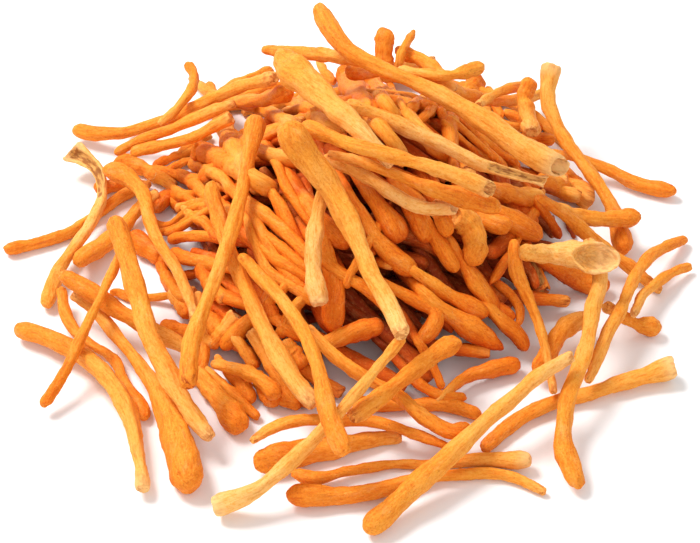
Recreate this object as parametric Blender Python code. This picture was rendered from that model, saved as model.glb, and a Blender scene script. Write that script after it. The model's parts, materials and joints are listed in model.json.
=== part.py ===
"""A bunch of dried cordyceps: a loose heap of club-shaped stalks, 150 mm across.

Each stalk is a tube of its own, thin in the stem and thick at the club. It follows a
route that is seen in the photograph or, behind the heap, is laid out in plan. A stalk
is let down its lines of sight, or straight down, until it rests on what lies under it.
The stalks inside the heap, too many to be single pieces, are one solid of their form.
"""

import math

import bmesh
import bpy
import numpy as np
from mathutils import Matrix

MM = 0.001

# The heap's scale and the direction that it is seen from
BUNCH_WIDTH = 150 * MM
BUNCH_LEFT_PX = 2
BUNCH_RIGHT_PX = 690
VIEW_CENTRE_PX = (350.0, 271.5)
VIEW_DISTANCE = 550 * MM
VIEW_ELEVATION = math.radians(42)
FOCAL_PX = VIEW_DISTANCE * (BUNCH_RIGHT_PX - BUNCH_LEFT_PX) / BUNCH_WIDTH

# The mound of inner stalks: its top's place in plan, height, and reach each way
MOUND_TOP = (4 * MM, 10 * MM)
MOUND_HEIGHT = 36 * MM
MOUND_REACH = {"right": 54 * MM, "back": 50 * MM, "left": 51 * MM, "front": 59 * MM}
MOUND_ROUNDNESS = 0.5
MOUND_LUMP = 1.5 * MM
MOUND_LUMP_PITCH = 19 * MM
MOUND_SECTORS = 32
MOUND_RINGS = 9

# How a stalk is meshed and laid
STALK_BEVEL_RESOLUTION = 2
RING_PITCH = 11 * MM
FEWEST_RINGS = 3
MOST_RINGS = 6
BUTT_END = 0.8
CLUB_SHOULDER = 0.86
CLUB_END = 0.45
GAP = 0.45 * MM
SAMPLES_A_BAND = 6
SPHERE_PITCH = 0.7 * MM
MOST_SAG = 0.1
SAG_COST = 0.25
STEEPEST = 0.7
STEEP_COST = 0.15
LAY_STEPS = 41
TALLEST = 75 * MM
HEIGHT_STEP = 0.25 * MM

ORANGE = (0.80, 0.33, 0.07)
PALE = (0.88, 0.50, 0.18)
DEEP = (0.66, 0.21, 0.03)

# Routes behind the heap, butt to club: x and y in plan and thickness, in millimetres
PLAN_STALKS = {
    "stalk_back_floor_left": [(-52, 46, 2.6), (-34, 55, 2.8), (-14, 59, 3.0), (5, 62, 4.6)],
    "stalk_back_floor_right": [(50, 42, 2.6), (42, 54, 3.0), (26, 63, 3.4), (8, 67, 4.8)],
    "stalk_back_slope_left": [(-38, 68, 2.4), (-30, 54, 3.0), (-21, 41, 3.4), (-14, 30, 5.0)],
    "stalk_back_slope_mid": [(20, 74, 2.6), (14, 60, 3.0), (6, 46, 3.2), (0, 34, 4.8)],
    "stalk_back_slope_right": [(46, 60, 2.6), (36, 49, 3.2), (26, 38, 3.6), (18, 27, 5.4)],
}

# Routes in the photograph, butt to club and the lowest stalk first: u and v in its
# pixels and thickness in millimetres.
PHOTO_STALKS = {
    "stalk_back_left_arm": [
        (276, 76, 3.2), (245, 84, 3.0), (212, 98, 3.2), (180, 113, 3.1), (150, 125, 3.0),
        (120, 132, 3.0), (98, 133, 3.6), (76, 129, 4.0)],
    "stalk_back_left_curl": [
        (160, 124, 2.2), (176, 108, 2.4), (190, 90, 2.4), (195, 76, 2.3), (188, 64, 2.3)],
    "stalk_back_left_second": [
        (235, 102, 2.8), (208, 112, 2.9), (185, 122, 2.8), (160, 133, 2.6), (135, 140, 2.6),
        (116, 152, 2.2)],
    "stalk_back_left_third": [
        (232, 116, 3.4), (208, 128, 3.4), (186, 138, 3.2), (162, 144, 3.2), (132, 151, 3.0)],
    "stalk_back_arc": [(452, 92, 3.4), (438, 73, 3.6), (420, 59, 3.6), (398, 50, 3.2)],
    "stalk_back_upright": [(388, 78, 3.8), (384, 58, 4.4), (384, 31, 4.4)],
    "stalk_back_thin": [(396, 72, 1.9), (402, 50, 2.0), (414, 30, 1.9)],
    "stalk_back_knobbed": [
        (398, 70, 2.6), (425, 73, 2.9), (452, 74, 3.0), (470, 69, 3.8), (480, 66, 4.2)],
    "stalk_back_right_arch": [(478, 104, 2.4), (492, 94, 2.4), (512, 87, 2.4), (530, 82, 2.2)],
    "stalk_back_right_club": [(531, 132, 3.8), (527, 112, 4.4), (524, 95, 4.4), (530, 80, 4.0)],
    "stalk_right_back_arm": [
        (545, 152, 2.2), (575, 156, 2.4), (600, 165, 3.0), (625, 178, 3.7), (652, 187, 4.3),
        (672, 190, 4.0)],
    "stalk_right_back_long": [
        (551, 66, 4.6), (546, 88, 3.8), (554, 118, 3.4), (570, 146, 3.1), (590, 173, 3.1),
        (608, 200, 3.2), (618, 225, 4.6), (623, 248, 5.2)],
    "stalk_right_level_club": [
        (556, 206, 2.6), (578, 214, 3.2), (602, 218, 3.6), (622, 217, 4.0), (638, 216, 4.2)],
    "stalk_right_slanting": [
        (660, 290, 2.2), (643, 277, 2.7), (622, 261, 3.0), (596, 240, 3.0), (568, 217, 2.9),
        (538, 196, 2.6)],
    "stalk_left_far_arm": [
        (150, 182, 2.6), (127, 192, 2.8), (105, 207, 2.8), (84, 223, 2.9), (60, 235, 2.9),
        (32, 243, 3.1), (6, 248, 3.7)],
    "stalk_left_forked": [
        (72, 150, 4.5), (92, 162, 3.2), (102, 182, 2.8), (99, 205, 2.8), (86, 228, 2.8),
        (70, 253, 3.0), (55, 275, 3.7), (47, 303, 3.9)],
    "stalk_left_low_club": [
        (158, 190, 2.6), (138, 208, 3.0), (118, 232, 3.8), (98, 247, 4.8), (78, 261, 4.2)],
    "stalk_left_twisted": [
        (61, 287, 2.2), (64, 310, 2.8), (76, 332, 2.6), (98, 347, 2.2), (114, 359, 2.2),
        (123, 380, 2.6), (137, 394, 3.2), (145, 416, 2.8)],
    "stalk_front_left_long": [
        (143, 489, 3.4), (139, 455, 3.4), (132, 420, 4.4), (118, 388, 5.2), (96, 364, 5.4),
        (70, 347, 4.6), (42, 334, 4.6), (18, 328, 4.8)],
    "stalk_front_big_club": [
        (72, 293, 2.4), (90, 305, 2.6), (106, 322, 2.8), (121, 341, 2.9), (138, 361, 3.0),
        (153, 384, 3.9), (166, 412, 5.5), (179, 444, 6.9), (189, 482, 7.2)],
    "stalk_left_flat": [
        (192, 350, 3.2), (165, 336, 3.6), (140, 322, 3.8), (112, 305, 4.0), (85, 287, 4.2),
        (63, 274, 4.0)],
    "stalk_left_curved_club": [
        (194, 318, 2.3), (186, 290, 2.7), (174, 265, 2.9), (160, 243, 2.9), (150, 224, 2.9),
        (145, 202, 3.2), (135, 182, 4.2), (120, 172, 5.0), (106, 168, 4.4)],
    "stalk_left_thin": [
        (124, 243, 2.0), (114, 266, 2.1), (101, 295, 2.1), (87, 322, 2.2), (73, 352, 2.4),
        (59, 380, 2.6), (43, 404, 2.9)],
    "stalk_left_long_club": [
        (211, 438, 3.9), (197, 420, 3.6), (181, 397, 3.7), (166, 371, 4.4), (151, 338, 4.5),
        (141, 305, 4.2), (131, 270, 4.3), (121, 240, 4.7), (113, 219, 5.0)],
    "stalk_low_left_club": [(196, 368, 3.6), (210, 388, 4.0), (224, 405, 4.8), (239, 424, 6.0)],
    "stalk_low_left_finger": [(212, 362, 2.2), (235, 367, 2.8), (258, 377, 3.4), (277, 394, 4.2)],
    "stalk_front_flat_club": [
        (402, 436, 2.2), (372, 438, 3.6), (335, 445, 4.6), (300, 452, 5.6), (275, 457, 6.4),
        (258, 460, 6.2)],
    "stalk_front_horn": [
        (251, 440, 1.6), (266, 428, 2.6), (290, 421, 2.9), (318, 419, 3.0), (350, 419, 3.0),
        (380, 421, 2.9), (408, 430, 2.8), (432, 441, 2.5), (455, 447, 1.8)],
    "stalk_right_low_long": [
        (672, 367, 5.0), (642, 374, 4.4), (610, 385, 3.5), (580, 394, 3.1), (550, 403, 3.3),
        (522, 415, 3.4), (501, 430, 3.3), (484, 447, 2.8)],
    "stalk_front_wavy_upper": [
        (530, 459, 3.6), (500, 458, 3.6), (470, 459, 2.8), (435, 463, 2.2), (400, 463, 2.1),
        (370, 462, 2.3), (345, 471, 2.7), (320, 478, 2.8), (294, 472, 3.1)],
    "stalk_front_wavy_lower": [
        (545, 491, 2.3), (524, 480, 2.4), (500, 473, 2.5), (468, 472, 2.6), (435, 475, 2.8),
        (402, 483, 3.2), (370, 490, 3.5), (338, 495, 4.0), (310, 494, 4.7), (289, 494, 4.7)],
    "stalk_front_right_down": [
        (306, 328, 3.2), (330, 350, 3.5), (360, 372, 3.6), (388, 388, 3.6), (410, 403, 3.6),
        (428, 420, 3.8), (446, 432, 4.2), (468, 426, 3.4)],
    "stalk_right_arc": [
        (594, 315, 3.6), (572, 322, 4.3), (556, 336, 4.2), (547, 353, 3.9), (536, 368, 3.8)],
    "stalk_right_upright": [
        (553, 392, 1.8), (548, 365, 2.3), (544, 343, 2.5), (536, 318, 2.8), (526, 292, 3.7),
        (516, 266, 3.8), (513, 240, 3.0)],
    "stalk_right_knob": [
        (604, 304, 2.8), (618, 313, 2.6), (634, 322, 3.2), (648, 326, 4.4), (657, 325, 4.6)],
    "stalk_right_short": [
        (632, 314, 2.0), (640, 297, 2.3), (656, 282, 2.3), (674, 270, 2.4), (690, 265, 2.4)],
    "stalk_right_second_bend": [
        (586, 382, 2.2), (596, 360, 2.7), (606, 335, 3.1), (620, 308, 2.8), (630, 284, 2.8),
        (643, 262, 2.9), (664, 246, 2.9), (684, 238, 2.8)],
    "stalk_right_big_bend": [
        (588, 240, 3.6), (598, 262, 4.4), (597, 287, 4.5), (591, 313, 4.2), (587, 342, 4.0),
        (578, 370, 4.3), (567, 400, 4.4), (563, 430, 4.5), (569, 460, 4.9), (577, 484, 4.4)],
    "stalk_front_lower_long": [
        (572, 354, 3.3), (545, 370, 3.1), (520, 391, 3.4), (495, 411, 3.7), (465, 439, 4.2),
        (435, 467, 4.6), (400, 499, 5.2), (368, 526, 5.4)],
    "stalk_right_cup": [(520, 251, 3.4), (545, 252, 4.0), (566, 252, 5.2), (590, 256, 6.8)],
    "stalk_front_cross": [
        (350, 417, 2.8), (366, 406, 4.4), (388, 389, 3.0), (413, 370, 3.8), (438, 350, 4.4),
        (456, 341, 4.4)],
    "stalk_front_long_pale": [
        (212, 505, 5.2), (235, 499, 4.3), (262, 484, 3.3), (288, 463, 3.2), (315, 436, 3.0),
        (340, 409, 2.8), (362, 384, 2.6), (385, 357, 2.3), (402, 336, 2.6)],
    "stalk_centre_left_long": [
        (314, 405, 4.2), (300, 388, 4.4), (280, 356, 4.2), (259, 318, 4.2), (241, 279, 3.6),
        (226, 240, 3.6), (215, 205, 4.6), (211, 183, 4.0)],
    "stalk_centre_thin_long": [
        (241, 254, 2.9), (258, 273, 3.1), (276, 292, 3.0), (294, 316, 3.0), (309, 343, 3.1),
        (319, 372, 3.2), (326, 405, 3.9), (334, 430, 4.3), (344, 450, 4.0)],
    "stalk_leaning_long": [
        (188, 386, 3.8), (187, 362, 3.8), (195, 330, 3.6), (208, 295, 3.4), (221, 260, 3.3),
        (233, 222, 3.3), (243, 183, 3.5), (250, 148, 3.8), (256, 118, 4.8)],
    "stalk_centre_pale_long": [
        (454, 206, 2.8), (430, 208, 3.2), (404, 199, 3.0), (378, 183, 3.0), (350, 167, 2.8),
        (325, 156, 2.6)],
    "stalk_upper_club": [
        (327, 152, 1.9), (352, 158, 2.0), (382, 168, 2.3), (412, 181, 2.8), (442, 191, 3.8),
        (470, 199, 4.6), (497, 206, 4.6)],
    "stalk_centre_pale_short": [
        (319, 304, 3.8), (314, 283, 3.9), (313, 253, 3.9), (315, 222, 3.9), (321, 195, 3.5),
        (330, 172, 3.2)],
    "stalk_upper_pale_long": [
        (545, 180, 2.2), (515, 173, 2.2), (488, 166, 2.8), (462, 154, 3.2), (432, 139, 3.3),
        (400, 124, 3.3), (370, 111, 2.9), (348, 102, 2.8)],
    "stalk_top_left_bar": [
        (366, 62, 2.6), (340, 56, 3.4), (312, 53, 3.3), (285, 51, 3.0), (264, 49, 2.4)],
    "stalk_top_big_club": [
        (392, 164, 3.4), (376, 147, 3.8), (358, 128, 4.3), (336, 107, 5.0), (313, 87, 6.6),
        (294, 70, 7.4), (280, 56, 6.0)],
    "stalk_upper_torn_long": [
        (490, 188, 3.7), (465, 178, 3.4), (436, 167, 3.3), (400, 157, 3.2), (365, 147, 3.1),
        (335, 138, 3.3), (304, 124, 3.4)],
    "stalk_centre_big_club": [
        (402, 334, 3.8), (391, 309, 3.8), (376, 284, 4.1), (361, 250, 4.6), (346, 215, 5.4),
        (325, 182, 6.0), (302, 150, 6.8), (286, 125, 6.6)],
    "stalk_top_tall_club": [
        (560, 166, 5.0), (540, 157, 5.4), (512, 140, 5.2), (482, 119, 4.8), (450, 99, 4.1),
        (418, 83, 3.5), (388, 70, 3.3), (362, 60, 3.3), (345, 46, 3.8),
        (330, 26, 4.8), (318, 7, 4.5)],
}

PALE_STALKS = {
    "stalk_left_forked",
    "stalk_front_long_pale",
    "stalk_centre_pale_long",
    "stalk_centre_pale_short",
    "stalk_upper_pale_long",
    "stalk_right_cup",
}


def material(name, colour):
    """A dry, matt fungus skin of one colour."""
    skin = bpy.data.materials.new(name)
    skin.use_nodes = True
    shader = skin.node_tree.nodes["Principled BSDF"]
    shader.inputs["Base Color"].default_value = (*colour, 1.0)
    shader.inputs["Roughness"].default_value = 0.75
    shader.inputs["Metallic"].default_value = 0.0
    skin.diffuse_color = (*colour, 1.0)
    return skin


def sight_lines(u, v):
    """Each pixel's line of sight: its foot on the floor, and its run for a metre of height."""
    forward = np.array([0.0, math.cos(VIEW_ELEVATION), -math.sin(VIEW_ELEVATION)])
    upward = np.array([0.0, math.sin(VIEW_ELEVATION), math.cos(VIEW_ELEVATION)])
    sideways = np.array([1.0, 0.0, 0.0])
    eye = -VIEW_DISTANCE * forward
    line = (
        FOCAL_PX * forward
        + (u - VIEW_CENTRE_PX[0])[:, None] * sideways
        + (VIEW_CENTRE_PX[1] - v)[:, None] * upward
    )
    run = line / line[:, 2:]
    return eye - eye[2] * run, run


def plumb_lines(x, y):
    """The same for points given in plan, which go straight down."""
    foot = np.stack([x, y, np.zeros_like(x)], axis=1)
    return foot, np.tile([0.0, 0.0, 1.0], (len(x), 1))


def smooth_curve(points, at):
    """A Catmull-Rom curve through the points, read at shares of its chord length."""
    chords = np.linalg.norm(np.diff(points[:, :2], axis=0), axis=1)
    knots = np.concatenate([[0.0], np.cumsum(chords)]) / chords.sum()
    slopes = np.gradient(points, knots, axis=0)
    span = np.clip(np.searchsorted(knots, at, side="right") - 1, 0, len(knots) - 2)
    width = (knots[span + 1] - knots[span])[:, None]
    t = (at[:, None] - knots[span][:, None]) / width
    return (
        (1 + 2 * t) * (1 - t) ** 2 * points[span]
        + t * (1 - t) ** 2 * width * slopes[span]
        + t * t * (3 - 2 * t) * points[span + 1]
        + t * t * (t - 1) * width * slopes[span + 1]
    )


def mound_height(x, y):
    """The height of the mound of inner stalks over each point of the floor."""
    across, along = x - MOUND_TOP[0], y - MOUND_TOP[1]
    reach_x = np.where(across > 0, MOUND_REACH["right"], MOUND_REACH["left"])
    reach_y = np.where(along > 0, MOUND_REACH["back"], MOUND_REACH["front"])
    share = (across / reach_x) ** 2 + (along / reach_y) ** 2
    dome = MOUND_HEIGHT * (1 - share) / (1 + MOUND_ROUNDNESS * share)
    lumps = np.sin(x / MOUND_LUMP_PITCH * math.tau) * np.cos(y / MOUND_LUMP_PITCH * math.tau)
    return np.maximum(dome + MOUND_LUMP * lumps * np.clip(1 - share, 0, 1), 0.0)


def mound_slope(x, y):
    step = 0.5 * MM
    in_x = (mound_height(x + step, y) - mound_height(x - step, y)) / (2 * step)
    in_y = (mound_height(x, y + step) - mound_height(x, y - step)) / (2 * step)
    return np.hypot(in_x, in_y)


def rest_on_mound(foot, run, radius):
    """The least height, on each line, at which a ball clears the floor and the mound."""
    heights = np.arange(TALLEST, 0.0, -HEIGHT_STEP)
    x = foot[:, :1] + run[:, :1] * heights
    y = foot[:, 1:2] + run[:, 1:2] * heights
    mound = mound_height(x, y)
    swell = radius[:, None] * np.hypot(1.0, mound_slope(x, y)) + GAP
    inside = (heights < mound + swell) & (mound > 0)
    first = np.argmax(inside, axis=1)
    rest = heights[np.maximum(first - 1, 0)]
    return np.where(inside.any(axis=1), np.maximum(rest, radius), radius)


def rest_on_stalks(foot, run, radius, balls):
    """The least height, on each line, at which a ball clears every ball already laid."""
    if not len(balls):
        return np.zeros(len(foot))
    to_ball = balls[None, :, :3] - foot[:, None, :]
    reach = radius[:, None] + balls[None, :, 3] + GAP
    length = (run**2).sum(1)[:, None]
    nearest = (to_ball * run[:, None, :]).sum(2) / length
    left = reach**2 - (to_ball**2).sum(2) + nearest**2 * length
    height = np.where(left > 0, nearest + np.sqrt(np.maximum(left, 0) / length), 0.0)
    return height.max(axis=1)


def lay(at, least, at_rings, length):
    """Heights of a slightly bent stick that lies as low as it can over the least heights."""
    t = 2 * at - 1
    rises = np.linspace(-STEEPEST, STEEPEST, LAY_STEPS) * length / 2
    sags = np.linspace(-MOST_SAG, MOST_SAG, LAY_STEPS) * length
    rise, sag = (grid.ravel() for grid in np.meshgrid(rises, sags))
    middle = (least - rise[:, None] * t - sag[:, None] * t**2).max(axis=1)
    cost = middle + sag / 3 + SAG_COST * abs(sag) + STEEP_COST * rise**2 / (length / 2)
    best = np.argmin(cost)
    ring_t = 2 * at_rings - 1
    return middle[best] + rise[best] * ring_t + sag[best] * ring_t**2


def ring_shares(length, butt, club):
    """Where a stalk's rings lie, as shares of its length, and how far each is drawn in."""
    inner = int(np.clip(round(length / RING_PITCH), FEWEST_RINGS, MOST_RINGS))
    first, last = 0.5 * butt / length, 1 - 1.6 * club / length
    middle = np.linspace(first, last, inner + 2)
    shares = np.concatenate([[0.0], middle, [1 - 0.6 * club / length, 1.0]])
    drawn = np.concatenate([[BUTT_END], np.ones(inner + 2), [CLUB_SHOULDER, CLUB_END]])
    return shares, drawn


def route_of_stalk(route, lines, unit, balls):
    """The centres and radii of a stalk's rings, once it is laid on the balls."""
    points = np.array(route, float)
    points[:, 2] *= MM
    floor_points, _ = lines(points[:, 0] * unit, points[:, 1] * unit)
    length = np.linalg.norm(np.diff(floor_points, axis=0), axis=1).sum()
    shares, drawn = ring_shares(length, points[0, 2] / 2, points[-1, 2] / 2)
    rings = smooth_curve(points, shares)
    steps = np.linspace(0, len(shares) - 1, (len(shares) - 1) * SAMPLES_A_BAND + 1)
    index = np.arange(len(shares))
    along = np.interp(steps, index, shares)
    fine = np.stack([np.interp(steps, index, rings[:, k]) for k in range(3)], axis=1)
    foot, run = lines(fine[:, 0] * unit, fine[:, 1] * unit)
    radius = fine[:, 2] / 2
    least = np.maximum(
        rest_on_mound(foot, run, radius), rest_on_stalks(foot, run, radius, balls)
    )
    height = lay(along, least, shares, length)
    foot, run = lines(rings[:, 0] * unit, rings[:, 1] * unit)
    return foot + run * height[:, None], rings[:, 2] / 2, drawn


def balls_along(centres, radii):
    """Balls that fill a stalk, as rows of x, y, z and radius."""
    rows = []
    for k in range(len(centres) - 1):
        span = np.linalg.norm(centres[k + 1] - centres[k])
        t = np.linspace(0, 1, max(2, int(span / SPHERE_PITCH) + 1))[:, None]
        place = centres[k] * (1 - t) + centres[k + 1] * t
        size = radii[k] * (1 - t) + radii[k + 1] * t
        rows.append(np.concatenate([place, size], axis=1))
    return np.concatenate(rows)


def make_stalk(name, centres, radii, skin, bunch):
    """One stalk: a tube through its rings, with filled ends."""
    curve = bpy.data.curves.new(name, "CURVE")
    curve.dimensions = "3D"
    curve.bevel_depth = 1.0
    curve.bevel_resolution = STALK_BEVEL_RESOLUTION
    curve.use_fill_caps = True
    spline = curve.splines.new("POLY")
    spline.points.add(len(centres) - 1)
    for point, centre, radius in zip(spline.points, centres, radii):
        point.co = (*centre, 1.0)
        point.radius = radius
    curve.materials.append(skin)
    stalk = bpy.data.objects.new(name, curve)
    bunch.objects.link(stalk)
    return stalk


def make_mound(skin, bunch):
    """The inner stalks: half a ball, closed below by a flat face, in the mound's form."""
    shell = bpy.data.meshes.new("inner_stalks")
    mound = bpy.data.objects.new("inner_stalks", shell)
    bunch.objects.link(mound)
    mesh = bmesh.new()
    bmesh.ops.create_uvsphere(
        mesh, u_segments=MOUND_SECTORS, v_segments=2 * MOUND_RINGS, radius=1.0
    )
    under = [v for v in mesh.verts if v.co.z < -1e-4]
    bmesh.ops.delete(mesh, geom=under, context="VERTS")
    rim = [e for e in mesh.edges if e.is_boundary]
    bmesh.ops.contextual_create(mesh, geom=rim)
    for vertex in mesh.verts:
        reach = 2 / math.pi * math.acos(max(0.0, min(1.0, vertex.co.z)))
        around = math.atan2(vertex.co.y, vertex.co.x)
        x_way = "right" if math.cos(around) > 0 else "left"
        y_way = "back" if math.sin(around) > 0 else "front"
        x = MOUND_TOP[0] + reach * math.cos(around) * MOUND_REACH[x_way]
        y = MOUND_TOP[1] + reach * math.sin(around) * MOUND_REACH[y_way]
        height = float(mound_height(np.array(x), np.array(y)))
        vertex.co = (x, y, 0.0 if reach > 0.999 else height)
    mesh.to_mesh(shell)
    mesh.free()
    shell.materials.append(skin)
    return mound


def lay_all():
    """Every stalk's rings in the order of laying: name to centres, radii and end factors."""
    laid = {}
    balls = np.zeros((0, 4))
    heap = [(name, route, plumb_lines, MM) for name, route in PLAN_STALKS.items()]
    heap += [(name, route, sight_lines, 1.0) for name, route in PHOTO_STALKS.items()]
    for name, route, lines, unit in heap:
        centres, radii, drawn = route_of_stalk(route, lines, unit, balls)
        balls = np.concatenate([balls, balls_along(centres, radii)])
        laid[name] = (centres, radii * drawn)
    return laid


def set_on_origin(bunch):
    """Moves the heap so that the middle of its box's underside is at the origin."""
    bpy.context.view_layer.update()
    corners = np.array([corner for piece in bunch.objects for corner in piece.bound_box])
    low, high = corners.min(axis=0), corners.max(axis=0)
    middle = (low + high) / 2
    for piece in bunch.objects:
        piece.data.transform(Matrix.Translation((-middle[0], -middle[1], -low[2])))


def main():
    for old in list(bpy.data.objects):
        bpy.data.objects.remove(old)
    bunch = bpy.data.collections.new("cordyceps_bunch")
    bpy.context.scene.collection.children.link(bunch)
    skins = {
        "orange": material("orange_skin", ORANGE),
        "pale": material("pale_skin", PALE),
        "deep": material("deep_skin", DEEP),
    }
    for name, (centres, radii) in lay_all().items():
        skin = skins["pale" if name in PALE_STALKS else "orange"]
        make_stalk(name, centres, radii, skin, bunch)
    make_mound(skins["deep"], bunch)
    set_on_origin(bunch)


main()
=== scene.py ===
import json
import math
import random

import bmesh
import bpy
import numpy as np
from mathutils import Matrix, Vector
from mathutils.bvhtree import BVHTree


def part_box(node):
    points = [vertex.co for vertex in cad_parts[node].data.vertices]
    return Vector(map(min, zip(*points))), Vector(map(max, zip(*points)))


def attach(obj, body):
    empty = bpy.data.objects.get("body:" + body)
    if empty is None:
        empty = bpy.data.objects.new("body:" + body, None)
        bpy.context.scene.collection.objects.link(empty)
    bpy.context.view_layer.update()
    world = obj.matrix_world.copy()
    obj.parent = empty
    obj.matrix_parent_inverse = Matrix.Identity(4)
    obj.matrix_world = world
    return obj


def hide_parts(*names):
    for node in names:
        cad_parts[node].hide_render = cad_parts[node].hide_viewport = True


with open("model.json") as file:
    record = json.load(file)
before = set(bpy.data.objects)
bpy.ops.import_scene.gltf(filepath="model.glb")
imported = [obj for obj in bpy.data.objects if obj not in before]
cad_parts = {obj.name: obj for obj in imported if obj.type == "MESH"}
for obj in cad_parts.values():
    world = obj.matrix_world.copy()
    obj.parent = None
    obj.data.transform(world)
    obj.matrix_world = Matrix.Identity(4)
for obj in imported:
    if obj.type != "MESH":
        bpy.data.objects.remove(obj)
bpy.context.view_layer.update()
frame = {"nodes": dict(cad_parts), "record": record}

# The heap lies on a plain white table top, under a wide soft light from the upper left
# and an even white sky. It is seen from in front at 42 degrees above the table.
bpy.ops.object.select_all(action="DESELECT")
bpy.ops.mesh.primitive_plane_add(size=8.0, location=(0, 0, 0))
table_top = bpy.context.active_object
table_top.name = "table_top"
white = bpy.data.materials.new("white_table")
white.use_nodes = True
shader = white.node_tree.nodes["Principled BSDF"]
shader.inputs["Base Color"].default_value = (0.93, 0.93, 0.93, 1)
shader.inputs["Roughness"].default_value = 0.9
shader.inputs["Specular IOR Level"].default_value = 0.1
table_top.data.materials.append(white)

sky = bpy.data.worlds.new("white_sky")
bpy.context.scene.world = sky
sky.use_nodes = True
sky.node_tree.nodes["Background"].inputs["Color"].default_value = (1, 1, 1, 1)
sky.node_tree.nodes["Background"].inputs["Strength"].default_value = 0.68


def soft_light(name, place, size, watts):
    lamp = bpy.data.lights.new(name, "AREA")
    lamp.shape = "DISK"
    lamp.size = size
    lamp.energy = watts
    holder = bpy.data.objects.new(name, lamp)
    holder.location = place
    holder.rotation_euler = (-Vector(place)).to_track_quat("-Z", "Y").to_euler()
    bpy.context.scene.collection.objects.link(holder)


soft_light("upper_left_light", (-0.55, 0.3, 0.95), 0.5, 13.0)
soft_light("front_light", (0.25, -0.9, 0.7), 0.8, 2.5)

MM = 0.001
VIEW_ELEVATION = math.radians(42)
VIEW_DISTANCE = 550 * MM
HEAP_WIDTH = 150 * MM
HEAP_WIDTH_PX = 688
PHOTO_WIDTH_PX = 700
PHOTO_MIDDLE_PX = (350, 271.5)
FOCAL_PX = VIEW_DISTANCE * HEAP_WIDTH_PX / HEAP_WIDTH
MOUND_LOW, MOUND_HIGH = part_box("inner_stalks")
TARGET_LEFT, TARGET_BEFORE = 5.6 * MM, 5.1 * MM
VIEW_TARGET = Vector((
    (MOUND_LOW.x + MOUND_HIGH.x) / 2 - TARGET_LEFT,
    (MOUND_LOW.y + MOUND_HIGH.y) / 2 - TARGET_BEFORE,
    0,
))
lens = bpy.data.cameras.new("photo_camera")
lens.sensor_width = 36
lens.lens = FOCAL_PX * lens.sensor_width / PHOTO_WIDTH_PX
lens.clip_start = 0.01
camera = bpy.data.objects.new("photo_camera", lens)
camera.location = VIEW_TARGET + VIEW_DISTANCE * Vector(
    (0, -math.cos(VIEW_ELEVATION), math.sin(VIEW_ELEVATION))
)
camera.rotation_euler = (math.pi / 2 - VIEW_ELEVATION, 0, 0)
bpy.context.scene.collection.objects.link(camera)
bpy.context.scene.camera = camera
bpy.context.scene.view_settings.view_transform = "Standard"

# A stalk is one fungus fruiting body, solid and fleshy, dried to a slender rod: it was
# torn off at the butt and swells to a club at the tip. One straight stalk of each kind
# is made here, long and short, and every stalk in the heap is a bent copy of one of them.
STEM_RADIUS = 1.6 * MM
DRAWN_RADIUS = 1.06 * STEM_RADIUS
STALK_SIDES = 8
LEAST_SIDE_COSINE = 0.95
RING_SLACK = 0.01
BUTT_LENGTH = 6.0
BUTT_PLACES = [0, 0.6, 1.8, 3.6, BUTT_LENGTH]
TIP_LENGTH = 4.0
LENGTHS = {"long": 60, "short": 26}
# For each use of a stalk, how often it is rounded and how far apart its rings are
DETAIL = {"top": (2, 5.0), "inner": (1, 2.4), "deep": (1, 5.0)}
# The rings of a tip: how far along it, and how wide as a share of the stem
TIP_RINGS = ((0.4, 1.0), (2.1, 0.99), (3.1, 0.84), (3.75, 0.55), (4.0, 0.2))
POINTED_TIP = ((0, 0.95), (1.4, 0.8), (2.7, 0.56), (3.6, 0.3), (4, 0.12))
WIDE_TIP = ((0.5, 1.0), (2.2, 1.06), (3.5, 1.06), (4, 0.94))
bpy.context.tool_settings.mesh_select_mode = (True, False, False)


def pick(stalk, wanted):
    """Selects, in edit mode, the points that are wanted by their place in millimetres."""
    bpy.ops.object.mode_set(mode="OBJECT")
    for part in (stalk.data.polygons, stalk.data.edges):
        part.foreach_set("select", [False] * len(part))
    for point in stalk.data.vertices:
        point.select = bool(wanted(point.co / MM))
    bpy.ops.object.mode_set(mode="EDIT")


def on_side(co, side):
    """Whether a point is on this one of the stalk's sides, which are counted from its +Y."""
    return math.cos(math.atan2(co.z, co.y) - math.tau * side / STALK_SIDES) > LEAST_SIDE_COSINE


def at_ring(co, x):
    return abs(co.x - x) < RING_SLACK


def drawn_stalk(name, length, pitch, tip=TIP_RINGS, butt=(0.6, 0.88, 1.0)):
    """A straight stalk in edit mode: a disc at the butt, drawn out ring by ring."""
    between = round((length - BUTT_LENGTH - TIP_LENGTH) / pitch)
    places = BUTT_PLACES + list(np.linspace(BUTT_LENGTH, length - TIP_LENGTH, between + 2)[1:-1])
    rings = [(x, butt[k] if k < len(butt) else 1.0) for k, x in enumerate(places)]
    rings += [(length - TIP_LENGTH + x, width) for x, width in tip]
    bpy.ops.object.select_all(action="DESELECT")
    bpy.ops.mesh.primitive_circle_add(
        vertices=STALK_SIDES, radius=DRAWN_RADIUS * rings[0][1], fill_type="NGON",
        rotation=(0, math.pi / 2, 0),
    )
    stalk = bpy.context.active_object
    stalk.name = name
    bpy.ops.object.transform_apply(location=True, rotation=True, scale=True)
    bpy.ops.object.mode_set(mode="EDIT")
    bpy.ops.mesh.select_all(action="SELECT")
    for (x, width), (next_x, next_width) in zip(rings, rings[1:]):
        bpy.ops.mesh.extrude_region_move(
            TRANSFORM_OT_translate={"value": ((next_x - x) * MM, 0, 0)}
        )
        share = next_width / width
        bpy.ops.transform.resize(value=(1, share, share), center_override=(next_x * MM, 0, 0))
    return stalk


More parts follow.
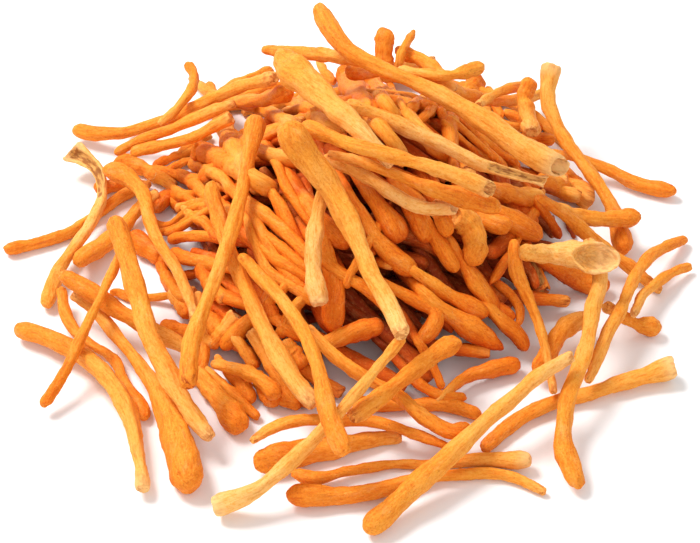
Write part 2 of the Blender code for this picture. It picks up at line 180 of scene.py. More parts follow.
def stem_rings(stalk):
    """The places of the rings between butt and tip, once edit mode has written its changes."""
    bpy.ops.object.mode_set(mode="OBJECT")
    bpy.ops.object.mode_set(mode="EDIT")
    places = sorted({round(v.co.x / MM, 3) for v in stalk.data.vertices})
    return [x for x in places if BUTT_LENGTH - 3 < x < places[-1] - 1.2]


def knuckles(stalk, chance, most):
    """Uneven growth: single points of the stem stand out or lie in a little."""
    draw = random.Random(stalk.name)
    for x in stem_rings(stalk):
        for side in range(STALK_SIDES):
            if draw.random() > chance:
                continue
            pick(stalk, lambda co: at_ring(co, x) and on_side(co, side))
            share = 1 + draw.uniform(-most, 0.7 * most)
            bpy.ops.transform.resize(value=(1, share, share), center_override=(x * MM, 0, 0))


def dented_butt(stalk, depth):
    """A butt that dried shut, with a small dent in its end."""
    pick(stalk, lambda co: at_ring(co, 0))
    bpy.ops.mesh.inset(thickness=0.35 * MM, depth=0)
    bpy.ops.transform.translate(value=(depth * MM, 0, 0))


def tear_rim(stalk, on_rim, ragged):
    """Makes a torn rim uneven: each point of it is pulled along the stem and in or out."""
    draw = random.Random(stalk.name)
    for side in range(STALK_SIDES):
        pull, share = draw.uniform(-ragged, ragged), 1 + 0.14 * draw.uniform(-ragged, ragged)
        pick(stalk, lambda co: on_rim(co) and on_side(co, side))
        bpy.ops.transform.resize(value=(1, share, share), center_override=(0, 0, 0))
        bpy.ops.transform.translate(value=(-pull * MM, 0, 0))


def sink_end(wall, depth):
    """Sinks the picked end of a stalk: in from its wall, then twice inwards and narrower."""
    bpy.ops.mesh.inset(thickness=wall * MM, depth=0)
    for _ in range(2):
        bpy.ops.mesh.extrude_region_move(TRANSFORM_OT_translate={"value": (0.5 * depth * MM, 0, 0)})
        bpy.ops.transform.resize(value=(1, 0.7, 0.7), center_override=(0, 0, 0))


def hollow_butt(stalk, wall, depth, ragged):
    """The torn end of a hollow stem: a cup with a thin ragged wall."""
    pick(stalk, lambda co: at_ring(co, 0))
    sink_end(wall, depth)
    tear_rim(stalk, lambda co: co.x < 1.0 and math.hypot(co.y, co.z) > 0.5, ragged)


def furrow(stalk, start, end, side, share):
    """A long furrow where the stem has dried and folded in, or a lip at a share below zero."""
    pick(stalk, lambda co: start <= co.x <= end and on_side(co, side))
    around = math.tau * side / STALK_SIDES
    inwards = -share * STEM_RADIUS
    bpy.ops.transform.translate(value=(0, inwards * math.cos(around), inwards * math.sin(around)))


def press(stalk, start, end, share):
    """A stretch that has dried flat."""
    pick(stalk, lambda co: start <= co.x <= end)
    bpy.ops.transform.resize(value=(1, 1, share), center_override=((start + end) / 2 * MM, 0, 0))


def swell(stalk, place, share):
    """A knob or a waist that passes all round the stem, at a share of the rings."""
    rings = stem_rings(stalk)
    x = rings[int(place * (len(rings) - 1))]
    pick(stalk, lambda co: at_ring(co, x))
    bpy.ops.transform.resize(value=(1, share, share), center_override=(x * MM, 0, 0))


def finish_straight(stalk, levels, hollow, brown):
    """Rounds the drawn stalk and notes how brown its points are on torn flesh, which reaches
    as far in as it is hollow."""
    bpy.ops.mesh.select_all(action="SELECT")
    bpy.ops.mesh.normals_make_consistent(inside=False)
    bpy.ops.object.mode_set(mode="OBJECT")
    rounded = stalk.modifiers.new("rounded", "SUBSURF")
    rounded.levels = rounded.render_levels = levels
    bpy.ops.object.modifier_apply(modifier="rounded")
    bpy.ops.object.shade_smooth()
    mesh = stalk.data
    torn = mesh.attributes.new("torn", "FLOAT", "POINT")
    for point, note in zip(mesh.vertices, torn.data):
        away = math.hypot(point.co.y, point.co.z)
        note.value = brown * (point.co.x < hollow * MM and away < 0.78 * STEM_RADIUS)
    stalk.hide_render = True


# Each kind gives its straight stalk, and how far in its torn flesh reaches


def smooth_kind(name, length, pitch):
    stalk = drawn_stalk(name, length, pitch)
    dented_butt(stalk, 0.25)
    swell(stalk, 0.5, 0.94)
    knuckles(stalk, 0.2, 0.07)
    return stalk, 0.0


def wavy_kind(name, length, pitch):
    stalk = drawn_stalk(name, length, pitch)
    dented_butt(stalk, 0.3)
    for place, share in ((0.2, 1.1), (0.4, 0.9), (0.62, 1.08), (0.85, 0.93)):
        swell(stalk, place, share)
    knuckles(stalk, 0.3, 0.13)
    return stalk, 0.0


def furrowed_kind(name, length, pitch):
    stalk = drawn_stalk(name, length, pitch, butt=(0.8, 0.95, 1.05))
    dented_butt(stalk, 0.4)
    furrow(stalk, 5, 0.7 * length, 2, 0.5)
    furrow(stalk, 0.3 * length, 0.9 * length, 5, 0.3)
    knuckles(stalk, 0.2, 0.1)
    return stalk, 0.0


def torn_kind(name, length, pitch):
    stalk = drawn_stalk(name, length, pitch, butt=(1.02, 1.04, 1.0))
    hollow_butt(stalk, 0.5, 2.6, 0.5)
    furrow(stalk, 5, 0.5 * length, 1, 0.28)
    knuckles(stalk, 0.25, 0.12)
    return stalk, 3.2


def flared_kind(name, length, pitch):
    stalk = drawn_stalk(name, length, pitch, butt=(1.3, 1.28, 1.15, 1.03))
    hollow_butt(stalk, 0.45, 3.4, 0.9)
    furrow(stalk, 3, 0.45 * length, 4, 0.3)
    knuckles(stalk, 0.3, 0.13)
    return stalk, 4.0


def split_kind(name, length, pitch):
    stalk = drawn_stalk(name, length, pitch, butt=(1.15, 1.15, 1.1, 1.05))
    hollow_butt(stalk, 0.4, 3.0, 1.1)
    furrow(stalk, 0.5, 0.3 * length, 2, 1.5)
    for side in (1, 3):
        furrow(stalk, 0, 0.28 * length, side, -0.22)
    furrow(stalk, 0.5, 0.4 * length, 4, 0.25)
    knuckles(stalk, 0.25, 0.12)
    return stalk, 0.3 * length


def slanted_butt(stalk, slant, wall, bowl):
    """The butt of a hollow stem torn off at a slant, which leaves its upper side open."""
    def on_rim(co):
        return abs(co.x - slant * co.z) < 2 * RING_SLACK

    for x, part in ((3.6, 0.43), (1.8, 0.71), (0.6, 0.9), (0.0, 1.0)):
        for side in range(STALK_SIDES):
            pick(stalk, lambda co: at_ring(co, x) and on_side(co, side))
            around = math.tau * side / STALK_SIDES
            bpy.ops.transform.translate(value=(part * slant * DRAWN_RADIUS * math.sin(around), 0, 0))
    pick(stalk, on_rim)
    bpy.ops.mesh.inset(thickness=wall * MM, depth=0)
    for down, share in bowl:
        bpy.ops.mesh.extrude_region_move(
            TRANSFORM_OT_translate={"value": (0.9 * down * MM, 0, -min(1.0, slant) * down * MM)}
        )
        bpy.ops.transform.resize(value=(share, share, share), center_override=(1.2 * MM, 0, 0))
    tear_rim(stalk, on_rim, 0.35)


def scooped_kind(name, length, pitch):
    stalk = drawn_stalk(name, length, pitch, butt=(1.0, 1.06, 1.04, 1.0))
    slanted_butt(stalk, 2.1, 0.24, ((0.55, 0.92), (-0.12, 0.88), (0.65, 0.8), (0.45, 0.6)))
    furrow(stalk, 7, 0.5 * length, 2, 0.2)
    knuckles(stalk, 0.3, 0.12)
    return stalk, 3.0


def sliced_kind(name, length, pitch):
    stalk = drawn_stalk(name, length, pitch, butt=(1.0, 1.08, 1.06, 1.02))
    slanted_butt(stalk, 1.1, 0.34, ((0.9, 0.8), (0.9, 0.75)))
    furrow(stalk, 4, 0.4 * length, 5, 0.3)
    knuckles(stalk, 0.3, 0.14)
    return stalk, 3.4


def paddle_kind(name, length, pitch):
    stalk = drawn_stalk(name, length, pitch, butt=(0.9, 1.0, 1.0))
    dented_butt(stalk, 0.4)
    press(stalk, 0.62 * length, length, 0.68)
    press(stalk, 0, 8, 0.8)
    knuckles(stalk, 0.25, 0.1)
    return stalk, 0.0


def pointed_kind(name, length, pitch):
    stalk = drawn_stalk(name, length, pitch, tip=POINTED_TIP)
    dented_butt(stalk, 0.3)
    knuckles(stalk, 0.25, 0.1)
    return stalk, 0.0


def knobbed_kind(name, length, pitch):
    stalk = drawn_stalk(name, length, pitch, butt=(0.66, 1.0, 1.16, 1.1))
    dented_butt(stalk, 0.5)
    knuckles(stalk, 0.5, 0.2)
    swell(stalk, 0.8, 0.88)
    swell(stalk, 0.95, 1.06)
    return stalk, 0.0


def cupped_kind(name, length, pitch):
    """The widened end has sunk in the middle as it dried."""
    stalk = drawn_stalk(name, length, pitch, tip=WIDE_TIP)
    pick(stalk, lambda co: at_ring(co, length))
    sink_end(0.35, -2.2)
    furrow(stalk, 0.4 * length, length, 3, 0.3)
    knuckles(stalk, 0.35, 0.14)
    return stalk, 0.0


KINDS = {
    "smooth": smooth_kind, "wavy": wavy_kind, "furrowed": furrowed_kind, "torn": torn_kind,
    "flared": flared_kind, "split": split_kind, "paddle": paddle_kind, "pointed": pointed_kind,
    "knobbed": knobbed_kind, "cupped": cupped_kind, "scooped": scooped_kind, "sliced": sliced_kind,
}
DEEP_KINDS = ("smooth", "wavy", "furrowed", "torn", "knobbed", "pointed", "split")
LIGHT_BOWL = 0.4
straight_stalks = {}
for kind, make in KINDS.items():
    for size, length in LENGTHS.items():
        for detail, (levels, pitch) in DETAIL.items():
            if detail == "deep" and kind not in DEEP_KINDS:
                continue
            stalk, hollow = make(f"{kind}_{size}_{detail}", length, pitch)
            finish_straight(stalk, levels, hollow, LIGHT_BOWL if kind == "scooped" else 1.0)
            straight_stalks[kind, size, detail] = stalk

# The skin is dry and matt: cream where the butt was torn, pale orange and fibrous along
# the stem, and deep orange with fine pores on the club, with brown specks here and there.
# RIPENESS gives its colour from the palest flesh to the reddest.
# On the inner pieces, the tone that picks a colour here also holds painted shade, redder and darker where
# they lie deep in the heap
RIPENESS = (
    (0.0, (0.93, 0.50, 0.15, 1)), (0.09, (0.92, 0.42, 0.08, 1)), (0.24, (0.90, 0.335, 0.032, 1)),
    (0.45, (0.86, 0.235, 0.01, 1)), (0.55, (0.80, 0.175, 0.005, 1)), (0.66, (0.68, 0.12, 0.003, 1)),
    (1.0, (0.36, 0.045, 0.002, 1)),
)
CREAM_FLESH = (0.93, 0.60, 0.26, 1)
PALE_SPOT = (0.96, 0.58, 0.18, 1)
PALE_SCUFF = (0.95, 0.56, 0.2, 1)
TORN_FLESH, BROWN_FLESH = (0.76, 0.38, 0.10, 1), (0.37, 0.13, 0.03, 1)


def dried_skin(name, paler):
    skin = bpy.data.materials.new(name)
    skin.use_nodes = True
    tree = skin.node_tree
    shader = tree.nodes["Principled BSDF"]

    def node(kind, **settings):
        made = tree.nodes.new(kind)
        for key, value in settings.items():
            setattr(made, key, value)
        return made

    def join(source, target):
        tree.links.new(source, target)

    def feed(sockets, values):
        """Each socket takes a number, a colour or what another node gives."""
        for socket, value in zip(sockets, values):
            if isinstance(value, (int, float, tuple)):
                socket.default_value = value
            else:
                join(value, socket)

    def attribute(name, output):
        return node("ShaderNodeAttribute", attribute_name=name).outputs[output]

    def sums(operation, *values):
        made = node("ShaderNodeMath", operation=operation)
        feed(made.inputs, values)
        return made.outputs[0]

    def grain(scale, along, detail=3.0, rough=0.55):
        """Noise on the straight stalk's own millimetres, drawn out along it."""
        spread = node("ShaderNodeVectorMath", operation="MULTIPLY")
        feed(spread.inputs, (straight, (along, 1, 1)))
        noise = node("ShaderNodeTexNoise", noise_dimensions="4D")
        noise.inputs["Scale"].default_value = scale
        noise.inputs["Detail"].default_value = detail
        noise.inputs["Roughness"].default_value = rough
        join(spread.outputs[0], noise.inputs["Vector"])
        join(own, noise.inputs["W"])
        return noise.outputs["Fac"]

    def between(value, low, high):
        made = node("ShaderNodeMapRange", interpolation_type="SMOOTHSTEP")
        made.inputs["From Min"].default_value = low
        made.inputs["From Max"].default_value = high
        join(value, made.inputs["Value"])
        return made.outputs["Result"]

    def blend(mode, share, first, second):
        made = node("ShaderNodeMix", data_type="RGBA", blend_type=mode)
        feed((made.inputs[0], made.inputs[6], made.inputs[7]), (share, first, second))
        return made.outputs[2]

    straight = attribute("straight", "Vector")
    share = attribute("share", "Fac")
    tone = attribute("tone", "Fac")
    own = sums("MULTIPLY", attribute("own", "Fac"), 40.0)
    torn = attribute("torn", "Fac")
    pale_butt = attribute("pale_butt", "Fac")

    patches = grain(0.14, 0.6)
    ripe = sums("MULTIPLY_ADD", patches, 0.8, sums("MULTIPLY_ADD", tone, 0.5, -0.65 - paler))
    ripe = sums("MULTIPLY_ADD", share, 0.46, sums("ADD", ripe, 0.19))
    red_butt = sums("MAXIMUM", sums("MULTIPLY", pale_butt, -0.7), 0.0)
    ripe = sums("ADD", ripe, sums("MULTIPLY", between(share, 0.3, 0.0), red_butt))
    colours = node("ShaderNodeValToRGB")
    steps = colours.color_ramp.elements
    for at, _ in RIPENESS[1:-1]:
        steps.new(at)
    for step, (at, ripe_colour) in zip(steps, RIPENESS):
        step.position = at
        step.color = ripe_colour
    join(sums("MULTIPLY", ripe, 0.6), colours.inputs["Fac"])
    colour = colours.outputs["Color"]

    fibre = grain(1.3, 0.2, 4.0, 0.65)
    colour = blend("MULTIPLY", between(fibre, 0.54, 0.34), colour, (0.90, 0.72, 0.48, 1))
    threads = grain(3.4, 0.09, 2.0, 0.5)
    colour = blend("MULTIPLY", between(threads, 0.5, 0.3), colour, (0.90, 0.74, 0.52, 1))
    mottle = grain(2.3, 0.6, 5.0, 0.75)
    colour = blend("MULTIPLY", between(mottle, 0.52, 0.36), colour, (0.92, 0.76, 0.45, 1))
    colour = blend("MIX", sums("MULTIPLY", between(mottle, 0.52, 0.72), 0.3), colour, PALE_SPOT)
    scuffs = between(grain(0.45, 0.4, 5.0, 0.7), 0.53, 0.72)
    colour = blend("MIX", sums("MULTIPLY", scuffs, 0.25 + paler), colour, PALE_SCUFF)

    pores = node("ShaderNodeTexVoronoi", feature="F1", voronoi_dimensions="3D")
    pores.inputs["Scale"].default_value = 2.3
    join(straight, pores.inputs["Vector"])
    dots = between(pores.outputs["Distance"], 0.36, 0.10)
    club = between(share, 0.45, 0.8)
    dots = sums("MULTIPLY", dots, sums("MULTIPLY_ADD", club, 0.75, 0.25))
    colour = blend("MULTIPLY", sums("MULTIPLY", dots, 0.38), colour, (0.76, 0.46, 0.3, 1))

    brown = between(grain(1.1, 0.55, 5.0, 0.75), 0.60, 0.72)
    colour = blend("MULTIPLY", sums("MULTIPLY", brown, 0.55), colour, (0.62, 0.36, 0.18, 1))
    specks = between(grain(1.9, 0.8, 2.0, 0.5), 0.665, 0.715)
    colour = blend("MULTIPLY", sums("MULTIPLY", specks, 0.4), colour, (0.46, 0.22, 0.10, 1))
    butt_end = between(share, 0.08, 0.0)
    colour = blend("MIX", sums("MULTIPLY", butt_end, pale_butt), colour, CREAM_FLESH)
    ends = sums("MULTIPLY", butt_end, between(grain(1.2, 0.5), 0.48, 0.62))
    ends = sums("MULTIPLY", ends, sums("SUBTRACT", 1.0, sums("MAXIMUM", pale_butt, 0.0)))
    colour = blend("MULTIPLY", ends, colour, (0.55, 0.30, 0.16, 1))
    inner = blend("MIX", between(grain(1.6, 0.3), 0.4, 0.6), TORN_FLESH, BROWN_FLESH)
    colour = blend("MIX", torn, colour, inner)
    join(colour, shader.inputs["Base Color"])

    rough = sums("MULTIPLY_ADD", grain(1.0, 0.4), 0.3, 0.5)
    join(rough, shader.inputs["Roughness"])
    shader.inputs["Specular IOR Level"].default_value = 0.2
    shader.inputs["Subsurface Weight"].default_value = 0.1
    shader.inputs["Subsurface Radius"].default_value = (1.0, 0.3, 0.08)
    shader.inputs["Subsurface Scale"].default_value = 0.6 * MM

    creases = grain(1.1, 0.35, 5.0, 0.62)
    pits = grain(3.6, 0.8, 3.0, 0.6)
    relief = sums("MULTIPLY_ADD", fibre, 0.7, sums("MULTIPLY", creases, 0.8))
    relief = sums("MULTIPLY_ADD", pits, 0.55, relief)
    relief = sums("MULTIPLY_ADD", dots, -0.35, relief)
    bump = node("ShaderNodeBump")
    bump.inputs["Strength"].default_value = 1.0
    bump.inputs["Distance"].default_value = 0.26 * MM
    join(relief, bump.inputs["Height"])
    join(bump.outputs["Normal"], shader.inputs["Normal"])
    return skin


SKINS = {
    "stalk": dried_skin("dried_orange_skin", 0.0),
    "pale_stalk": dried_skin("dried_pale_skin", 0.22),
    "inner_stalks": dried_skin("dried_inner_skin", 0.0),
}

# The stalks that lie on top of the heap or stick out of it each follow their own solid:
# a straight stalk is fitted to its length, bent along it and given its thickness.
SAME_PLACE = 1e-6
BUTT_END = 0.8
CLUB_SHOULDER = 0.86
CLUB_END = 0.45
CLUB_BEYOND = 0.35


def welded(node):
    """A solid's mesh, its triangles joined where they meet."""
    mesh = bmesh.new()
    mesh.from_mesh(node.data)
    bmesh.ops.remove_doubles(mesh, verts=mesh.verts, dist=SAME_PLACE)
    return mesh


def rings_of(node):
    """A solid stalk's ring centres and radii, butt first, as it was before its ends were drawn in."""
    tube = welded(node)
    tube.faces.ensure_lookup_table()
    seen = set()
    caps = []
    for first in tube.faces:
        if first in seen:
            continue
        flat, edge_of = {first}, [first]
        while edge_of:
            face = edge_of.pop()
            for edge in face.edges:
                for other in edge.link_faces:
                    if other not in flat and other.normal.dot(first.normal) > 0.9999:
                        flat.add(other)
                        edge_of.append(other)
        seen |= flat
        points = {v for face in flat for v in face.verts}
        if len(flat) != STALK_SIDES - 2 or len(points) != STALK_SIDES:
            continue
        middle = sum((v.co for v in points), Vector()) / STALK_SIDES
        away = [(v.co - middle).length for v in points]
        if max(away) < 1.1 * min(away):
            caps.append(points)
    ring, done, rings = caps[0], set(), []
    while ring:
        done |= ring
        middle = sum((v.co for v in ring), Vector()) / len(ring)
        radius = sum((v.co - middle).length for v in ring) / len(ring)
        rings.append((*middle, radius))
        ring = {e.other_vert(v) for v in ring for e in v.link_edges} - done
    tube.free()
    rings = np.array(rings)
    if rings[0, 3] / rings[2, 3] < rings[-1, 3] / rings[-3, 3]:
        rings = rings[::-1].copy()
    rings[0, 3] /= BUTT_END
    rings[-2, 3] /= CLUB_SHOULDER
    rings[-1, 3] /= CLUB_END
    ahead = rings[-1, :3] - rings[-2, :3]
    rings[-1, :3] += CLUB_BEYOND * rings[-1, 3] * ahead / np.linalg.norm(ahead)
    return rings


def smooth_route(rings, at):
    """A smooth curve through the rings, read at shares of its length."""
    steps = np.linalg.norm(np.diff(rings[:, :3], axis=0), axis=1)
    knots = np.concatenate([[0.0], np.cumsum(steps)]) / steps.sum()
    slopes = np.gradient(rings, knots, axis=0)
    span = np.clip(np.searchsorted(knots, at, side="right") - 1, 0, len(knots) - 2)
    width = (knots[span + 1] - knots[span])[:, None]
    t = (at[:, None] - knots[span][:, None]) / width
    return (
        (1 + 2 * t) * (1 - t) ** 2 * rings[span]
        + t * (1 - t) ** 2 * width * slopes[span]
        + t * t * (3 - 2 * t) * rings[span + 1]
        + t * t * (t - 1) * width * slopes[span + 1]
    )


fibre_frame = bpy.data.objects.new("fibre_frame", None)
fibre_frame.scale = (6, 1, 1)
bpy.context.scene.collection.objects.link(fibre_frame)
FIBRE_DEPTH, SWELL_DEPTH, WRINKLE_DEPTH = 0.6 * MM, 0.45 * MM, 0.32 * MM
ROUTE_POINTS = 48
SHORT_BELOW = 34 * MM
LEAST_RADIUS = 0.5 * MM
SWAY_WAVES, UPWARD_SWAY = (1.7, 3.3), 0.4
WIDTH_WAVES, WIDTH_CHANGE = (2.3, 5.1), 0.05
RIM_BEFORE = 4
FLATTEST = 0.82
MOST_TWIST = 1.6
FACING_KINDS = ("scooped", "sliced", "split")


def relief(name, size):
    clouds = bpy.data.textures.new(name, "CLOUDS")
    clouds.noise_scale = size
    return clouds


fibre_relief = relief("fibre_relief", 1.2 * MM)
swells = relief("swells", 5 * MM)
wrinkles = relief("wrinkles", 1.3 * MM)


def displace(stalk, texture, depth, texture_frame=None):
    raised = stalk.modifiers.new("raised", "DISPLACE")
    raised.texture = texture
    raised.texture_coords = "OBJECT" if texture_frame else "LOCAL"
    raised.texture_coords_object = texture_frame
    raised.strength = depth
    raised.mid_level = 0.5
    bpy.ops.object.modifier_apply(modifier="raised")


def turn_to_view(guide):
    """The turn at which a stalk on this route has the open side of its butt to the camera."""
    data = bpy.data.meshes.new("marks")
    data.from_pydata(((0, 0, 0), (0, MM, 0), (0, 0, MM)), (), ())
    marks = bpy.data.objects.new("marks", data)
    bpy.context.scene.collection.objects.link(marks)
    bend = marks.modifiers.new("bend", "CURVE")
    bend.object = guide
    bend.deform_axis = "POS_X"
    bent = marks.evaluated_get(bpy.context.evaluated_depsgraph_get()).data
    middle, side, top = (point.co.copy() for point in bent.vertices)
    bpy.data.objects.remove(marks)
    to_camera = camera.location - middle
    return math.atan2((middle - side).dot(to_camera), (top - middle).dot(to_camera))


def note_on(mesh, notes):
    """Writes on each point of a stalk what its skin reads there."""
    for key, values in notes.items():
        kind_of, field = ("FLOAT_VECTOR", "vector") if values.ndim == 2 else ("FLOAT", "value")
        noted = np.ascontiguousarray(values, np.float32).ravel()
        mesh.attributes.new(key, kind_of, "POINT").data.foreach_set(field, noted)


def guide_along(name, route, thick):
    """A curve on a stalk's route, as wide at each point as the stalk is thick there."""
    line = bpy.data.curves.new(name, "CURVE")
    line.dimensions = "3D"
    line.twist_mode = "MINIMUM"
    spline = line.splines.new("POLY")
    spline.points.add(ROUTE_POINTS - 1)
    for point, place, radius in zip(spline.points, route, thick):
        point.co = (*place[:3], 1)
        point.radius = radius / STEM_RADIUS
    guide = bpy.data.objects.new(name, line)
    bpy.context.scene.collection.objects.link(guide)
    return guide


def bend_stalk(name, kind, detail, rings, tone, pale_butt=0.2, wander=0.25 * MM):
    """A copy of a straight stalk, fitted to the rings and turned about its own length."""
    draw = random.Random(name)
    at = np.linspace(0, 1, ROUTE_POINTS)
    route = smooth_route(rings, at)
    for axis in range(3):
        for waves in SWAY_WAVES:
            sway = draw.uniform(-wander, wander) / waves * (UPWARD_SWAY if axis == 2 else 1.0)
            route[:, axis] += sway * np.sin(math.tau * (waves * at + draw.random()))
    length = float(np.linalg.norm(np.diff(route[:, :3], axis=0), axis=1).sum())
    thick = np.maximum(route[:, 3], LEAST_RADIUS)
    for waves in WIDTH_WAVES:
        thick = thick * (1 + WIDTH_CHANGE * np.sin(math.tau * (waves * at + draw.random())))

    bpy.ops.object.select_all(action="DESELECT")
    size = "long" if length > SHORT_BELOW else "short"
    full = LENGTHS[size]
    straight = straight_stalks[kind, size, detail]
    stalk = bpy.data.objects.new(name, straight.data.copy())
    bpy.context.scene.collection.objects.link(stalk)
    stalk.select_set(True)
    bpy.context.view_layer.objects.active = stalk
    mesh = stalk.data
    place = np.empty(len(mesh.vertices) * 3, np.float32)
    mesh.vertices.foreach_get("co", place)
    place = place.reshape(-1, 3)
    butt = BUTT_LENGTH * MM * thick[0] / STEM_RADIUS
    tip = TIP_LENGTH * MM * thick[-1] / STEM_RADIUS
    spare = min(1.0, 0.6 * length / (butt + tip))
    butt, tip = butt * spare, tip * spare
    place[:, 0] = np.interp(
        place[:, 0] / MM, [-RIM_BEFORE, 0, BUTT_LENGTH, full - TIP_LENGTH, full],
        [-RIM_BEFORE * butt / BUTT_LENGTH, 0, butt, length - tip, length],
    )
    place[:, 2] *= draw.uniform(FLATTEST, 1.0)
    width = np.interp(place[:, 0] / length, at, thick) / STEM_RADIUS
    noted = place * np.stack([np.ones(len(width)), width, width], axis=1) / MM
    mesh.vertices.foreach_set("co", place.ravel())
    fibre_frame.location = (draw.random() * 0.3, draw.random() * 0.02, 0)
    displace(stalk, fibre_relief, FIBRE_DEPTH, fibre_frame)
    count = len(mesh.vertices)
    note_on(mesh, {
        "straight": noted, "share": np.clip(place[:, 0] / length, 0, 1),
        "tone": np.full(count, tone), "own": np.full(count, draw.random()),
        "pale_butt": np.full(count, pale_butt),
    })

    guide = guide_along(name + "_route", route, thick)
    line = guide.data
    turn, twist = draw.uniform(0, math.tau), draw.uniform(-MOST_TWIST, MOST_TWIST)
    if kind in FACING_KINDS and detail != "deep":
        turn, twist = turn_to_view(guide), 0.0
    for point, share in zip(line.splines[0].points, at):
        point.tilt = turn + twist * share
    bend = stalk.modifiers.new("bend", "CURVE")
    bend.object = guide
    bend.deform_axis = "POS_X"
    bpy.ops.object.modifier_apply(modifier="bend")
    bpy.data.objects.remove(guide)
    bpy.data.curves.remove(line)
    displace(stalk, swells, SWELL_DEPTH)
    displace(stalk, wrinkles, WRINKLE_DEPTH)
    return stalk


# Each top stalk's kind, how ripe its orange is, and how pale its butt, or how red below zero
LOOKS = {
    "back_left_arm": ("wavy", 0.55, 0.2), "back_left_curl": ("smooth", 0.6, 0.1),
    "back_left_second": ("wavy", 0.5, 0.2), "back_left_third": ("furrowed", 0.5, 0.2),
    "back_arc": ("smooth", 0.45, 0.2), "back_upright": ("knobbed", 0.6, 0.2),
    "back_thin": ("pointed", 0.55, 0.2), "back_knobbed": ("knobbed", 0.3, 0.3),
    "back_right_arch": ("wavy", 0.5, 0.2), "back_right_club": ("knobbed", 0.4, 0.2),
    "right_back_arm": ("smooth", 0.65, 0.1), "right_back_long": ("torn", 0.5, 0.6),
    "right_level_club": ("smooth", 0.6, 0.1), "right_slanting": ("wavy", 0.65, 0.1),
    "left_far_arm": ("smooth", 0.6, 0.1), "left_forked": ("split", 0.3, 0.8),
    "left_low_club": ("smooth", 0.45, 0.1), "left_twisted": ("knobbed", 0.55, -0.6),
    "front_left_long": ("furrowed", 0.35, 0.5), "front_big_club": ("smooth", 0.45, 0.2),
    "left_flat": ("smooth", 0.5, 0.1), "left_curved_club": ("torn", 0.4, 0.3),
    "left_thin": ("wavy", 0.7, 0.1), "left_long_club": ("smooth", 0.4, 0.4),
    "low_left_club": ("smooth", 0.6, 0.1), "low_left_finger": ("wavy", 0.55, 0.1),
    "front_flat_club": ("paddle", 0.65, 0.1), "front_horn": ("pointed", 0.7, 0.1),
    "right_low_long": ("torn", 0.4, 0.6), "front_wavy_upper": ("knobbed", 0.5, 0.6),
    "front_wavy_lower": ("smooth", 0.6, 0.1), "front_right_down": ("furrowed", 0.6, 0.1),
    "right_arc": ("smooth", 0.4, 0.3), "right_upright": ("furrowed", 0.5, 0.1),
    "right_knob": ("knobbed", 0.45, 0.1), "right_short": ("smooth", 0.4, 0.3),
    "right_second_bend": ("wavy", 0.55, 0.1), "right_big_bend": ("furrowed", 0.4, 0.2),
    "front_lower_long": ("smooth", 0.2, 0.2), "right_cup": ("scooped", 0.1, 0.6),
    "front_cross": ("paddle", 0.65, 0.1), "front_long_pale": ("knobbed", 0.35, 0.7),
    "centre_left_long": ("wavy", 0.4, 0.3), "centre_thin_long": ("smooth", 0.5, -0.4),
    "leaning_long": ("wavy", 0.4, -0.6), "centre_pale_long": ("sliced", 0.3, 0.6),
    "upper_club": ("smooth", 0.6, 0.1), "centre_pale_short": ("knobbed", 0.15, 0.6),
    "upper_pale_long": ("split", 0.2, 0.5), "upper_torn_long": ("sliced", 0.35, 0.3),
    "top_left_bar": ("torn", 0.5, -0.4), "top_big_club": ("smooth", 0.1, 0.2),
    "centre_big_club": ("furrowed", 0.15, 0.3), "top_tall_club": ("sliced", 0.45, 0.7),
}
CLUB_HIDDEN = {"right_cup"}
BROAD_CLUBS = {"front_big_club": 1.2, "low_left_club": 1.06}
CLUB_START, CLUB_RISE = 0.55, 0.25
BACK_LOOK = ("wavy", 0.55, 0.2)
SLOTS = {entry["node"]: entry["material_slot"] for entry in frame["record"]["subparts"]}
for node_name in sorted(frame["nodes"]):
    if node_name == "inner_stalks":
        continue
    name = node_name.removeprefix("stalk_")
    kind, tone, pale_butt = LOOKS.get(name, BACK_LOOK)
    rings = rings_of(frame["nodes"][node_name])
    if name in CLUB_HIDDEN:
        rings = rings[::-1].copy()
    on_club = np.clip((np.linspace(0, 1, len(rings)) - CLUB_START) / CLUB_RISE, 0, 1)
    rings[:, 3] *= 1 + (BROAD_CLUBS.get(name, 1.0) - 1) * on_club
    stalk = bend_stalk(name + "_stalk", kind, "top", rings, tone, pale_butt)
    stalk.data.materials.append(SKINS[SLOTS[node_name]])
    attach(stalk, "root")
    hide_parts(node_name)

# The stalks deep in the heap and down its back were dropped one on another. Each is let
# straight down until it rests on the table or on stalks laid before it, and is taken
# away again where it would stand out of the heap's form.
GRID_PITCH = 1.5 * MM
BALL_PITCH = 1.3 * MM


def heights_of_mound():
    """The heap's form as heights over a grid of the table top."""
    mound = welded(frame["nodes"]["inner_stalks"])
    tree = BVHTree.FromBMesh(mound)
    mound.free()
    columns = int((MOUND_HIGH.x - MOUND_LOW.x) / GRID_PITCH) + 2
    rows = int((MOUND_HIGH.y - MOUND_LOW.y) / GRID_PITCH) + 2
    heights = np.zeros((columns, rows))
    for i in range(columns):
        for j in range(rows):
            over = Vector((MOUND_LOW.x + i * GRID_PITCH, MOUND_LOW.y + j * GRID_PITCH, 0.2))
            hit = tree.ray_cast(over, Vector((0, 0, -1)))[0]
            heights[i, j] = hit.z if hit else 0.0
    return heights


MOUND_HEIGHTS = heights_of_mound()


